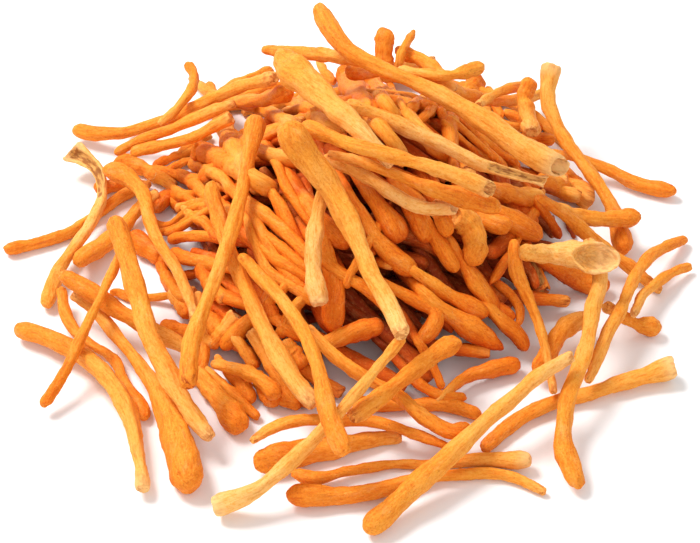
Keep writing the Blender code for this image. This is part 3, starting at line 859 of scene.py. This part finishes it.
def mound_at(x, y):
    i = (x - MOUND_LOW.x) / GRID_PITCH
    j = (y - MOUND_LOW.y) / GRID_PITCH
    inside = (i >= 0) & (j >= 0) & (i < MOUND_HEIGHTS.shape[0] - 1) & (j < MOUND_HEIGHTS.shape[1] - 1)
    i = np.clip(i, 0, MOUND_HEIGHTS.shape[0] - 1.001)
    j = np.clip(j, 0, MOUND_HEIGHTS.shape[1] - 1.001)
    low_i, low_j = i.astype(int), j.astype(int)
    part_i, part_j = i - low_i, j - low_j
    height = (
        MOUND_HEIGHTS[low_i, low_j] * (1 - part_i) * (1 - part_j)
        + MOUND_HEIGHTS[low_i + 1, low_j] * part_i * (1 - part_j)
        + MOUND_HEIGHTS[low_i, low_j + 1] * (1 - part_i) * part_j
        + MOUND_HEIGHTS[low_i + 1, low_j + 1] * part_i * part_j
    )
    return np.where(inside, height, 0.0)


def mound_slope(x, y, step):
    """How steep the heap's form is, from its heights a step to each side."""
    aside = mound_at(x + step, y) - mound_at(x - step, y)
    onward = mound_at(x, y + step) - mound_at(x, y - step)
    return np.hypot(aside, onward) / (2 * step)


def rest_on_balls(foot, run, radius, balls, nestle):
    """The least height, on each line, at which a ball rests on those already laid. Soft
    stalks nestle: they close up to a share of their two radii."""
    if not len(balls):
        return radius.copy()
    to_ball = balls[None, :, :3] - foot[:, None, :]
    reach = nestle * (radius[:, None] + balls[None, :, 3])
    length = (run**2).sum(1)[:, None]
    nearest = (to_ball * run[:, None, :]).sum(2) / length
    left = reach**2 - (to_ball**2).sum(2) + nearest**2 * length
    height = np.where(left > 0, nearest + np.sqrt(np.maximum(left, 0) / length), 0.0)
    return np.maximum(height.max(axis=1), radius)


def lie(at, least, length, steepest=0.6, most_sag=0.12):
    """Heights of a slightly bent stick that lies as low as it can over the least heights."""
    t = 2 * at - 1
    rises = np.linspace(-steepest, steepest, 31) * length / 2
    sags = np.linspace(-most_sag, most_sag, 21) * length
    rise, sag = (grid.ravel() for grid in np.meshgrid(rises, sags))
    middle = (least - rise[:, None] * t - sag[:, None] * t**2).max(axis=1)
    best = np.argmin(middle + sag / 3 + 0.25 * abs(sag) + 0.15 * rise**2 / (length / 2))
    return middle[best] + rise[best] * t + sag[best] * t**2


def balls_in(rings):
    """Balls that fill a stalk, as rows of x, y, z and radius."""
    rows = []
    for first, second in zip(rings, rings[1:]):
        span = np.linalg.norm(second[:3] - first[:3])
        t = np.linspace(0, 1, max(2, int(span / BALL_PITCH) + 1))[:, None]
        rows.append(first * (1 - t) + second * t)
    return np.concatenate(rows)


# Painted shade: this much tone, redder and darker, is added for each metre that a point of an inner piece
# lies under the heap's form, from the shallowest depth to the deepest
PAINTED_SHADE_PER_DEPTH = 0.33 / MM
SHALLOWEST, DEEPEST = 0.8 * MM, 12 * MM


def join_stalks(name, stalks):
    """Joins single stalks to one piece that stands for the heap's inner solid, with shade
    painted into its colour: the deeper a point lies under the heap's form, the redder and darker its tone."""
    bpy.ops.object.select_all(action="DESELECT")
    for stalk in stalks:
        stalk.select_set(True)
    bpy.context.view_layer.objects.active = stalks[0]
    bpy.ops.object.join()
    piece = bpy.context.active_object
    piece.name = name
    piece.data.name = name
    place = np.empty(len(piece.data.vertices) * 3, np.float32)
    tone = np.empty(len(piece.data.vertices), np.float32)
    piece.data.vertices.foreach_get("co", place)
    piece.data.attributes["tone"].data.foreach_get("value", tone)
    x, y, z = place.reshape(-1, 3).T
    # Painted shade: points deeper under the heap's form are given a redder, darker tone
    tone += PAINTED_SHADE_PER_DEPTH * (np.clip(mound_at(x, y) - z, SHALLOWEST, DEEPEST) - SHALLOWEST)
    piece.data.attributes["tone"].data.foreach_set("value", tone.astype(np.float32))
    piece.data.materials.append(SKINS["inner_stalks"])
    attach(piece, "root")
    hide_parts("inner_stalks")
    return piece


# Most lie down to the right, steeper at the heap's left than at its right, by these degrees
LEAN, LEAN_ACROSS, LEAN_SPREAD = -38, 24, 22
LEAN_WIDTH = 50 * MM
ASTRAY = 0.15
DEEP_TRIES = 1200
DEEP_LENGTHS, DEEP_SPREAD = (28, 58), 0.97
DEEP_BOW = 0.1
BACK_FROM = 6 * MM
DEEP_COVER = {"front": 3.2 * MM, "back": 0.3 * MM}
DEEP_NESTLE = 0.72
DEEP_POINTS = 26
DEEP_CLUBS, DEEP_STEMS = (1.7, 2.9), (1.2, 1.8)
DEEP_CLUB_START, DEEP_CLUB_RISE = 0.6, 0.3
MOST_OUT, MOST_POINTS_OUT = 3 * MM, 3
MIDDLE = (MOUND_LOW + MOUND_HIGH) / 2
draw = random.Random(11)
laid_balls = np.zeros((0, 4))
deep_rings = []


def deep_plan(shortest, longest, spread):
    """A stalk's route in plan over the mound, and its radii."""
    length = draw.uniform(shortest, longest) * MM
    reach = spread * math.sqrt(draw.random())
    angle = draw.uniform(0, math.tau)
    centre = (
        MIDDLE.x + reach * math.cos(angle) * (MOUND_HIGH.x - MOUND_LOW.x) / 2,
        MIDDLE.y + reach * math.sin(angle) * (MOUND_HIGH.y - MOUND_LOW.y) / 2,
    )
    from_middle = centre[0] - MIDDLE.x
    turn = math.radians(LEAN + LEAN_ACROSS * from_middle / LEAN_WIDTH + draw.gauss(0, LEAN_SPREAD))
    if draw.random() < ASTRAY:
        turn = draw.uniform(0, math.tau)
    turn += math.pi * draw.randint(0, 1)
    bow = draw.uniform(-DEEP_BOW, DEEP_BOW) * length
    club = draw.uniform(*DEEP_CLUBS) * MM
    stem = draw.uniform(*DEEP_STEMS) * MM
    at = np.linspace(0, 1, DEEP_POINTS)
    t = 2 * at - 1
    along, across = t * length / 2, bow * (1 - t**2)
    x = centre[0] + along * math.cos(turn) - across * math.sin(turn)
    y = centre[1] + along * math.sin(turn) + across * math.cos(turn)
    on_club = np.clip((at - DEEP_CLUB_START) / DEEP_CLUB_RISE, 0, 1)
    radius = stem + (club - stem) * on_club**1.5
    return at, x, y, radius, length


def deep_cover(y):
    return np.where(y < MIDDLE.y + BACK_FROM, DEEP_COVER["front"], DEEP_COVER["back"])


for attempt in range(DEEP_TRIES):
    at, x, y, radius, length = deep_plan(*DEEP_LENGTHS, DEEP_SPREAD)
    foot = np.stack([x, y, np.zeros(DEEP_POINTS)], axis=1)
    run = np.tile([0.0, 0.0, 1.0], (DEEP_POINTS, 1))
    height = lie(at, rest_on_balls(foot, run, radius, laid_balls, DEEP_NESTLE), length)
    room = mound_at(x, y) - deep_cover(y) - height - radius
    if (room < 0).sum() > MOST_POINTS_OUT or room.min() < -MOST_OUT:
        continue
    rings = np.stack([x, y, height, radius], axis=1)
    deep_rings.append(rings)
    laid_balls = np.concatenate([laid_balls, balls_in(rings)])

# Others are pushed in where room is left under the heap's skin, from the inside out, and
# have bent with its slope.
MANTLE_TRIES = 500
MANTLE_LENGTHS, MANTLE_SPREAD = (24, 48), 0.92
MANTLE_DEPTHS = (20, 16, 13, 10, 7.5, 5, 2.5, 0)
MANTLE_NESTLE = 0.58
MANTLE_STEP = 2 * MM
MOST_CROSSED = 0.2
ROUND_ABOUT = 6 * MM
for depth in MANTLE_DEPTHS:
    for attempt in range(MANTLE_TRIES):
        at, x, y, radius, length = deep_plan(*MANTLE_LENGTHS, MANTLE_SPREAD)
        cover = deep_cover(y) + depth * MM
        under = mound_at(x, y) - (radius + cover) * np.hypot(1.0, mound_slope(x, y, MANTLE_STEP))
        height = np.polyval(np.polyfit(at, under, 3), at)
        height -= max(0.0, (height - under).max())
        if (height < radius).any():
            continue
        rings = np.stack([x, y, height, radius], axis=1)
        from_middle = abs(laid_balls[:, :3] - rings[:, :3].mean(axis=0))
        near = laid_balls[(from_middle < length / 2 + ROUND_ABOUT).all(axis=1)]
        away = np.linalg.norm(near[None, :, :3] - rings[:, None, :3], axis=2)
        crossed = (away < MANTLE_NESTLE * (rings[:, 3:] + near[None, :, 3])).any(axis=1)
        if crossed.mean() > MOST_CROSSED:
            continue
        deep_rings.append(rings)
        laid_balls = np.concatenate([laid_balls, balls_in(rings)])

DEEP_PALE_BUTT = 0.1
DEEP_WANDER = 0.15 * MM
STALKS_A_PIECE = 60
deep_stalks = []
for number, rings in enumerate(deep_rings):
    kind = draw.choice(DEEP_KINDS)
    tone = draw.uniform(0.3, 0.7)
    deep_stalks.append(
        bend_stalk(f"deep_{number:03d}", kind, "deep", rings, tone, DEEP_PALE_BUTT, DEEP_WANDER)
    )
for number, start in enumerate(range(0, len(deep_stalks), STALKS_A_PIECE)):
    join_stalks(f"deep_stalks_{number + 1}", deep_stalks[start:start + STALKS_A_PIECE])

# The stalks that show between the top ones lie on the deep ones, and two groups of them
# stand out on top. Each was followed in the photograph, from butt to club and the lowest
# first: u and v in its pixels and thickness in millimetres.
# Each entry gives the stalk's kind, then its tone, then its route. The tone is partly its own ripeness and
# partly painted shade: it is redder and darker where the stalk lies in shade between others
SEEN = {
    "left_inner_stalks": [
        ("smooth", 0.8, [(186, 196, 3.0), (170, 196, 4.0), (158, 204, 4.6), (152, 214, 4.2)]),
        ("wavy", 0.6, [(215, 345, 2.8), (195, 335, 3.0), (175, 328, 3.0), (157, 321, 2.8)]),
        ("torn", 0.8, [
            (152, 175, 2.6), (165, 182, 2.6), (182, 195, 2.6), (198, 205, 2.5), (215, 215, 2.4)]),
        ("torn", 0.5, [(178, 209, 2.6), (190, 205, 2.6), (205, 203, 2.5), (222, 214, 2.4)]),
        ("wavy", 0.5, [(232, 212, 2.4), (205, 194, 2.8), (190, 180, 3.2), (170, 171, 3.4)]),
        ("wavy", 0.5, [(212, 136, 2.2), (200, 140, 2.2), (185, 150, 2.4), (176, 158, 2.2)]),
        ("smooth", 0.6, [(195, 178, 2.4), (175, 175, 2.8), (158, 170, 2.6), (146, 167, 2.4)]),
        ("wavy", 0.6, [
            (205, 206, 1.9), (195, 208, 2.0), (182, 214, 2.1), (172, 224, 2.1), (160, 226, 2.1),
            (150, 219, 2.0)]),
        ("wavy", 0.5, [
            (224, 242, 1.9), (207, 222, 1.9), (197, 213, 2.0), (190, 218, 2.0), (175, 229, 2.0),
            (155, 233, 1.9)]),
        ("smooth", 0.5, [(225, 240, 2.4), (200, 236, 2.6), (180, 237, 2.5), (165, 242, 2.3)]),
        ("smooth", 0.7, [(228, 262, 2.2), (215, 258, 2.3), (190, 250, 2.4)]),
        ("smooth", 0.6, [(228, 268, 2.4), (205, 262, 3.0), (185, 258, 3.2), (170, 250, 3.2)]),
        ("smooth", 0.4, [(215, 206, 1.9), (200, 215, 2.0), (180, 228, 2.0), (162, 235, 2.0)]),
        ("wavy", 0.6, [(182, 206, 2.0), (190, 215, 2.2), (205, 225, 2.2), (222, 244, 2.2)]),
        ("smooth", 0.6, [
            (176, 186, 3.0), (160, 178, 3.2), (145, 169, 3.5), (128, 162, 3.9), (110, 164, 4.0)]),
        ("smooth", 0.6, [(150, 186, 2.8), (125, 184, 3.0), (108, 186, 3.4), (91, 189, 4.0)]),
        ("smooth", 0.7, [(198, 149, 2.2), (180, 155, 2.3), (165, 160, 2.3), (150, 167, 2.2)]),
        ("smooth", 0.7, [(202, 157, 2.2), (185, 162, 2.3), (172, 168, 2.3), (160, 177, 2.2)]),
        ("smooth", 0.9, [(176, 262, 3.4), (156, 254, 4.8), (140, 243, 5.0), (128, 232, 4.4)]),
        ("smooth", 0.5, [
            (196, 290, 2.0), (170, 295, 2.0), (147, 298, 2.1), (130, 298, 2.1), (118, 292, 2.1),
            (104, 294, 2.0)]),
        ("knobbed", 0.9, [
            (190, 300, 2.4), (176, 291, 3.2), (168, 280, 3.9), (163, 270, 3.4), (157, 260, 2.4)]),
        ("knobbed", 0.3, [(172, 292, 2.8), (180, 303, 3.1), (190, 318, 3.4)]),
        ("knobbed", 0.5, [(275, 318, 2.6), (262, 310, 3.0), (235, 300, 3.8), (206, 290, 4.2)]),
        ("knobbed", 0.9, [(226, 300, 3.0), (215, 290, 3.6), (206, 275, 4.2), (198, 264, 4.0)]),
        ("paddle", 0.3, [
            (240, 198, 2.4), (232, 190, 2.6), (225, 180, 2.8), (205, 170, 2.8), (185, 162, 2.6)]),
        ("paddle", 0.2, [(205, 108, 2.6), (222, 93, 3.0), (250, 80, 3.2), (278, 68, 3.0)]),
        ("wavy", 0.5, [(222, 104, 1.9), (235, 98, 2.0), (255, 92, 2.1), (275, 86, 2.1), (292, 83, 2.0)]),
        ("smooth", 0.9, [(242, 112, 2.6), (256, 106, 3.0), (270, 98, 3.6), (288, 90, 3.9)]),
        ("torn", 0.4, [(301, 101, 3.8), (320, 111, 3.4), (344, 128, 3.0)]),
        ("paddle", 0.5, [(350, 142, 2.4), (338, 132, 3.0), (320, 118, 3.8)]),
        ("knobbed", 0.4, [
            (342, 132, 3.0), (320, 120, 3.0), (300, 108, 3.2), (285, 103, 3.4), (265, 110, 3.2),
            (245, 100, 3.4), (228, 106, 3.2)]),
        ("knobbed", 0.4, [
            (318, 168, 3.0), (305, 163, 3.6), (275, 156, 4.0), (245, 145, 4.4), (222, 132, 4.2)]),
    ],
    "centre_inner_stalks": [
        ("furrowed", 0.5, [
            (250, 175, 3.0), (270, 190, 3.2), (283, 212, 3.3), (295, 235, 3.3), (306, 255, 3.2),
            (318, 276, 3.0)]),
        ("smooth", 0.5, [
            (278, 168, 2.4), (287, 187, 2.6), (298, 205, 2.6), (310, 221, 2.5), (322, 238, 2.4)]),
        ("wavy", 0.4, [
            (245, 200, 3.0), (265, 215, 3.4), (285, 232, 3.4), (300, 248, 3.3), (318, 266, 3.2)]),
        ("wavy", 0.5, [
            (247, 203, 2.4), (260, 228, 2.6), (272, 252, 2.6), (290, 276, 2.5), (314, 296, 2.4)]),
        ("smooth", 0.6, [(265, 235, 2.4), (285, 250, 2.6), (302, 265, 2.5), (322, 280, 2.4)]),
        ("smooth", 0.5, [(265, 250, 2.8), (280, 262, 3.0), (303, 274, 2.9), (324, 290, 2.8)]),
        ("smooth", 0.6, [(270, 290, 2.2), (262, 305, 2.3), (250, 322, 2.2)]),
        ("smooth", 0.7, [(262, 298, 2.8), (270, 310, 3.1), (278, 326, 3.2)]),
        ("wavy", 0.5, [(306, 296, 2.6), (290, 315, 2.8), (280, 340, 2.8)]),
        ("wavy", 0.6, [(276, 320, 2.4), (290, 330, 2.6), (312, 339, 2.6)]),
        ("smooth", 0.5, [(310, 205, 3.6), (325, 225, 4.6), (340, 238, 4.8), (352, 250, 4.6)]),
        ("furrowed", 0.5, [(372, 238, 2.4), (362, 255, 2.6), (350, 275, 2.8), (345, 292, 2.6)]),
        ("smooth", 0.5, [
            (318, 248, 2.8), (328, 262, 3.0), (345, 276, 3.0), (365, 288, 3.0), (382, 303, 3.0),
            (397, 320, 3.0)]),
        ("smooth", 0.6, [(320, 345, 3.2), (340, 338, 4.2), (362, 330, 4.4), (388, 326, 4.2)]),
        ("torn", 0.4, [(310, 288, 2.6), (298, 305, 2.8), (278, 340, 3.0)]),
        ("paddle", 0.35, [
            (318, 226, 2.4), (322, 240, 2.8), (328, 262, 3.6), (335, 285, 4.6), (334, 312, 5.6),
            (334, 338, 5.0)]),
        ("wavy", 0.25, [
            (250, 225, 2.4), (252, 236, 2.6), (259, 252, 2.6), (269, 273, 2.6), (288, 283, 2.7),
            (304, 294, 2.7), (318, 308, 2.6)]),
        ("smooth", 0.5, [
            (392, 288, 2.4), (413, 300, 3.0), (436, 314, 3.4), (430, 332, 3.8), (414, 343, 3.8)]),
        ("smooth", 0.5, [
            (352, 196, 2.2), (364, 215, 2.4), (376, 238, 3.6), (395, 258, 4.8), (422, 277, 6.0)]),
    ],
    "upper_inner_stalks": [
        ("smooth", 0.8, [(505, 112, 2.6), (525, 122, 2.7), (545, 130, 2.6)]),
        ("smooth", 0.8, [(480, 118, 2.6), (492, 132, 2.7), (510, 150, 2.6)]),
        ("wavy", 0.6, [(444, 104, 1.8), (460, 118, 1.8), (480, 140, 1.8), (505, 168, 1.8)]),
        ("smooth", 0.6, [(448, 116, 1.6), (462, 128, 1.6), (485, 150, 1.6), (500, 165, 1.6)]),
        ("wavy", 0.5, [(450, 128, 1.5), (465, 142, 1.5), (482, 160, 1.4)]),
        ("smooth", 0.6, [(486, 142, 2.0), (498, 152, 2.0), (520, 165, 2.0)]),
        ("smooth", 0.5, [(396, 120, 2.4), (410, 108, 3.0), (433, 97, 3.1)]),
        ("smooth", 0.6, [(404, 132, 2.4), (420, 120, 2.6), (436, 105, 2.6)]),
        ("smooth", 0.6, [(372, 118, 2.4), (366, 98, 2.6), (365, 84, 3.4), (364, 72, 4.2)]),
        ("smooth", 0.5, [(410, 120, 1.8), (405, 110, 1.8), (395, 95, 1.9), (385, 75, 1.8)]),
        ("wavy", 0.4, [
            (470, 175, 3.4), (455, 165, 3.6), (430, 140, 3.8), (405, 115, 3.8), (385, 95, 3.8),
            (368, 72, 3.4)]),
        ("smooth", 0.6, [(456, 182, 2.4), (453, 160, 3.0), (451, 140, 4.0), (450, 114, 4.4)]),
        ("smooth", 0.6, [(436, 96, 2.0), (440, 108, 2.2), (446, 122, 2.2)]),
        ("smooth", 0.3, [(318, 60, 2.4), (326, 74, 2.5), (336, 84, 2.6)]),
        ("smooth", 0.5, [(430, 98, 2.6), (450, 90, 3.6), (470, 88, 4.0), (488, 80, 4.0)]),
        ("smooth", 0.9, [(456, 102, 3.6), (464, 98, 4.8), (473, 89, 5.4), (479, 76, 4.6)]),
        ("smooth", 0.5, [(488, 118, 2.2), (485, 108, 2.6), (481, 86, 2.8)]),
        ("smooth", 0.5, [(488, 88, 2.0), (493, 100, 2.2), (502, 120, 2.2)]),
        ("wavy", 0.5, [(462, 98, 2.2), (480, 108, 2.4), (505, 125, 2.6), (530, 128, 2.6), (546, 130, 2.4)]),
        ("smooth", 0.6, [(500, 146, 3.0), (520, 142, 3.8), (540, 140, 4.4), (557, 138, 4.4)]),
        ("knobbed", 0.6, [(530, 150, 3.0), (555, 165, 3.6), (575, 182, 3.8), (592, 196, 3.6)]),
        ("flared", 0.25, [(590, 197, 4.6), (572, 189, 4.8), (552, 184, 4.2), (535, 180, 3.2)]),
        ("torn", 0.4, [(537, 199, 4.8), (520, 197, 5.0), (500, 193, 4.4), (478, 187, 3.2)]),
    ],
    "right_inner_stalks": [
        ("smooth", 0.6, [(536, 200, 2.2), (550, 220, 2.3), (562, 241, 2.2)]),
        ("smooth", 0.6, [(560, 205, 1.4), (568, 222, 1.4), (575, 241, 1.4)]),
        ("smooth", 0.6, [
            (530, 250, 2.6), (548, 264, 3.2), (570, 276, 4.2), (590, 284, 5.0), (615, 285, 5.2)]),
        ("smooth", 0.5, [(518, 250, 2.4), (522, 262, 2.6), (532, 274, 2.7), (537, 290, 2.4)]),
        ("smooth", 0.7, [(478, 298, 3.4), (492, 306, 3.8), (505, 314, 4.0), (517, 319, 3.8)]),
        ("smooth", 0.5, [(498, 284, 2.0), (512, 296, 2.0), (520, 312, 2.0), (517, 329, 1.8)]),
        ("smooth", 0.6, [(490, 308, 3.4), (503, 322, 4.0), (518, 336, 4.2), (528, 354, 4.0)]),
        ("smooth", 0.6, [
            (452, 245, 2.6), (462, 262, 3.2), (475, 282, 4.4), (490, 300, 4.6), (500, 316, 4.2)]),
        ("smooth", 0.6, [
            (415, 272, 2.2), (430, 282, 2.8), (450, 295, 3.6), (470, 306, 4.4), (492, 319, 4.8)]),
        ("pointed", 0.6, [
            (425, 294, 2.6), (440, 308, 3.2), (460, 322, 4.8), (484, 337, 5.8), (508, 353, 4.8)]),
        ("smooth", 0.6, [(400, 190, 2.6), (410, 205, 3.6), (420, 222, 4.8), (430, 246, 4.6)]),
        ("smooth", 0.6, [(440, 200, 2.4), (445, 215, 2.8), (448, 236, 3.2)]),
        ("smooth", 0.6, [(428, 222, 2.4), (438, 240, 3.2), (448, 258, 3.8), (459, 274, 3.8)]),
        ("smooth", 0.6, [(512, 234, 3.2), (502, 244, 4.0), (487, 257, 4.2)]),
        ("pointed", 0.6, [(518, 240, 1.4), (513, 250, 1.8), (500, 270, 2.6), (488, 288, 3.2)]),
        ("smooth", 0.55, [
            (352, 168, 2.6), (360, 180, 3.0), (374, 200, 4.0), (390, 222, 5.6), (406, 246, 7.0)]),
    ],
    "front_inner_stalks": [
        ("wavy", 0.7, [(420, 345, 2.0), (432, 363, 2.0), (444, 391, 2.0)]),
        ("wavy", 0.6, [
            (350, 402, 2.4), (372, 403, 2.8), (405, 405, 3.0), (440, 405, 3.2), (465, 409, 3.4),
            (488, 421, 2.8)]),
        ("smooth", 0.6, [
            (395, 358, 2.2), (408, 372, 2.4), (422, 386, 2.4), (442, 396, 2.5), (472, 397, 2.4)]),
        ("smooth", 0.6, [
            (436, 402, 1.8), (446, 393, 2.0), (462, 380, 2.8), (484, 371, 3.4), (508, 366, 4.2),
            (526, 363, 4.2)]),
        ("smooth", 0.5, [
            (198, 292, 2.4), (200, 308, 2.6), (206, 335, 2.8), (203, 360, 2.7), (191, 387, 2.2)]),
        ("smooth", 0.5, [
            (259, 366, 2.2), (245, 350, 3.0), (226, 336, 3.6), (206, 318, 3.4), (192, 304, 2.8)]),
        ("smooth", 0.6, [(192, 300, 4.0), (205, 318, 4.8), (228, 336, 4.8)]),
        ("torn", 0.25, [(237, 315, 3.6), (222, 333, 3.4), (208, 350, 3.0)]),
        ("wavy", 0.2, [(232, 332, 2.6), (242, 347, 2.8), (258, 371, 2.8)]),
        ("smooth", 0.5, [
            (284, 288, 2.2), (270, 302, 2.6), (252, 319, 3.4), (234, 337, 4.4), (218, 353, 4.4)]),
        ("smooth", 0.8, [(255, 372, 2.6), (265, 388, 4.0), (277, 406, 5.0)]),
        ("wavy", 0.7, [(288, 366, 3.2), (298, 386, 3.6), (311, 407, 3.8)]),
        ("furrowed", 0.7, [(262, 386, 2.8), (280, 398, 3.2), (303, 406, 3.0)]),
        ("smooth", 0.6, [(216, 356, 1.8), (228, 372, 2.2), (243, 386, 3.2), (252, 405, 3.4)]),
        ("wavy", 0.5, [
            (196, 360, 2.0), (208, 372, 2.2), (230, 390, 2.3), (250, 410, 2.3), (262, 422, 2.2)]),
        ("torn", 0.3, [
            (250, 332, 2.6), (262, 350, 3.0), (274, 370, 3.1), (288, 392, 3.1), (300, 410, 3.0)]),
        ("knobbed", 0.3, [(284, 342, 3.2), (292, 352, 3.8), (307, 368, 4.0)]),
    ],
    "upper_left_top_stalks": [
        ("cupped", 0.5, [(262, 184, 4.4), (240, 170, 5.6), (215, 158, 6.4), (190, 148, 5.6)]),
        ("knobbed", 0.25, [
            (252, 178, 3.6), (243, 163, 4.4), (234, 148, 5.6), (226, 136, 6.0), (222, 130, 5.0)]),
        ("knobbed", 0.4, [
            (300, 128, 3.0), (280, 118, 3.4), (262, 110, 3.6), (245, 103, 3.6), (229, 100, 3.4)]),
        ("paddle", 0.3, [(228, 136, 4.8), (221, 116, 4.2), (214, 98, 3.2), (209, 84, 3.0), (207, 79, 2.8)]),
        ("knobbed", 0.65, [
            (405, 165, 3.4), (395, 145, 4.0), (375, 118, 4.6), (358, 95, 5.6), (346, 72, 6.6),
            (340, 56, 6.4)]),
        ("smooth", 0.5, [(392, 112, 3.0), (378, 94, 4.0), (364, 78, 4.8)]),
    ],
    "right_top_stalks": [
        ("smooth", 0.5, [(443, 222, 3.4), (447, 230, 4.0), (450, 237, 4.2)]),
        ("smooth", 0.6, [(475, 204, 3.0), (495, 212, 4.2), (515, 222, 5.4), (545, 238, 6.0)]),
        ("smooth", 0.6, [(465, 212, 2.8), (482, 219, 4.0), (498, 224, 4.4), (513, 228, 4.4)]),
        ("scooped", 0.3, [
            (446, 212, 5.0), (462, 218, 5.6), (473, 232, 5.4), (475, 250, 5.2), (471, 268, 4.6)]),
    ],
}
# Painted shade: the stalks that show between the top ones are all given this much more tone, redder and
# darker, as they lie in shade
PAINTED_SHADE_TONE = 0.15
LEAST_OUT = 0.4 * MM
STANDS_OUT = {"upper_left_top_stalks": 4.5 * MM, "right_top_stalks": 3 * MM}
UNDER_SKIN, DEEPEST_SEEN = 0.2 * MM, 5.5 * MM
TALLEST = 60 * MM
SEEN_NESTLE = 0.92
SEEN_POINTS, POINTS_A_RING = 36, 3
SEEN_STEP = 1.0 * MM
HEIGHT_STEP = 0.3 * MM


def sight_lines(u, v):
    """Each pixel's line of sight: its foot on the table, and its run for a metre of height."""
    forward = np.array([0.0, math.cos(VIEW_ELEVATION), -math.sin(VIEW_ELEVATION)])
    upward = np.array([0.0, math.sin(VIEW_ELEVATION), math.cos(VIEW_ELEVATION)])
    aside, above = u - PHOTO_MIDDLE_PX[0], PHOTO_MIDDLE_PX[1] - v
    line = FOCAL_PX * forward + aside[:, None] * np.array([1.0, 0, 0]) + above[:, None] * upward
    run = line / line[:, 2:]
    eye = np.array(camera.location)
    return eye - eye[2] * run, run


def form_on_line(foot, run, radius, cover):
    """The greatest height, on each line, at which a ball is under the heap's form."""
    heights = np.arange(TALLEST, 0.0, -HEIGHT_STEP)
    x = foot[:, :1] + run[:, :1] * heights
    y = foot[:, 1:2] + run[:, 1:2] * heights
    slope = mound_slope(x, y, SEEN_STEP)
    under = heights < mound_at(x, y) - (radius + cover)[:, None] * np.hypot(1.0, slope)
    first = np.argmax(under, axis=1)
    return np.where(under.any(axis=1), heights[first], radius)


# Where a stalk's butt goes in under its neighbours, it runs on and dives inwards. A torn
# butt that shows is where it ends.
USUAL_LENGTH = 48 * MM
MOST_HIDDEN = 22 * MM
LEAST_FORM = 8 * MM
DIVE, MOST_CLIMB = 0.3, 0.2
HIDDEN_COVER = 2 * MM
HIDDEN_STEP = 3 * MM
OPEN_KINDS = ("torn", "flared", "split", "scooped")
PX_PER_METRE = FOCAL_PX / VIEW_DISTANCE


def hidden_end(rings, points):
    """The rings of the part that can't be seen, lowest first."""
    seen_length = np.linalg.norm(np.diff(rings[:, :3], axis=0), axis=1).sum()
    wanted = min(MOST_HIDDEN, USUAL_LENGTH - seen_length)
    ahead = points[0, :2] - points[1, :2]
    ahead = ahead / np.linalg.norm(ahead) * PX_PER_METRE
    slope = (rings[0, 2] - rings[2, 2]) / np.linalg.norm(rings[0, :3] - rings[2, :3])
    extra = []
    for far in np.arange(HIDDEN_STEP, wanted, HIDDEN_STEP):
        at = points[0, :2] + ahead * far
        foot, run = sight_lines(at[:1], at[1:])
        radius = rings[0, 3]
        top = form_on_line(foot, run, np.array([radius]), HIDDEN_COVER)[0]
        if top < LEAST_FORM:
            break
        height = max(radius, min(top, rings[0, 2] + (min(slope, MOST_CLIMB) - DIVE) * far))
        extra.append([*(foot[0] + run[0] * height), radius])
    return np.array(extra[::-1]).reshape(-1, 4)


for piece_name, stalks in SEEN.items():
    made = []
    stands_out = STANDS_OUT.get(piece_name, LEAST_OUT)
    for number, (kind, tone, route) in enumerate(stalks):
        points = np.array([(u, v, 0.0, w / 2 * MM) for u, v, w in route])
        fine = smooth_route(points, np.linspace(0, 1, SEEN_POINTS))
        foot, run = sight_lines(fine[:, 0], fine[:, 1])
        radius = fine[:, 3]
        ceiling = form_on_line(foot, run, radius, UNDER_SKIN)
        least = np.maximum(form_on_line(foot, run, radius, DEEPEST_SEEN), radius)
        least = np.maximum(least, rest_on_balls(foot, run, radius, laid_balls, SEEN_NESTLE))
        least = np.minimum(least, np.maximum(ceiling + stands_out - LEAST_OUT, radius))
        steps = np.linalg.norm(np.diff(foot, axis=0), axis=1)
        at = np.concatenate([[0.0], np.cumsum(steps)]) / steps.sum()
        height = np.minimum(lie(at, least, steps.sum()), ceiling + stands_out)
        height = np.maximum(np.polyval(np.polyfit(at, height, 4), at), radius)
        rings = np.concatenate([foot + run * height[:, None], radius[:, None]], axis=1)[::POINTS_A_RING]
        laid_balls = np.concatenate([laid_balls, balls_in(rings)])
        if kind not in OPEN_KINDS:
            rings = np.concatenate([hidden_end(rings, points), rings])
        made.append(bend_stalk(f"{piece_name}_{number:02d}", kind, "inner", rings, tone + PAINTED_SHADE_TONE))
    join_stalks(piece_name, made)

for straight in straight_stalks.values():
    bpy.data.objects.remove(straight)
bpy.data.objects.remove(fibre_frame)
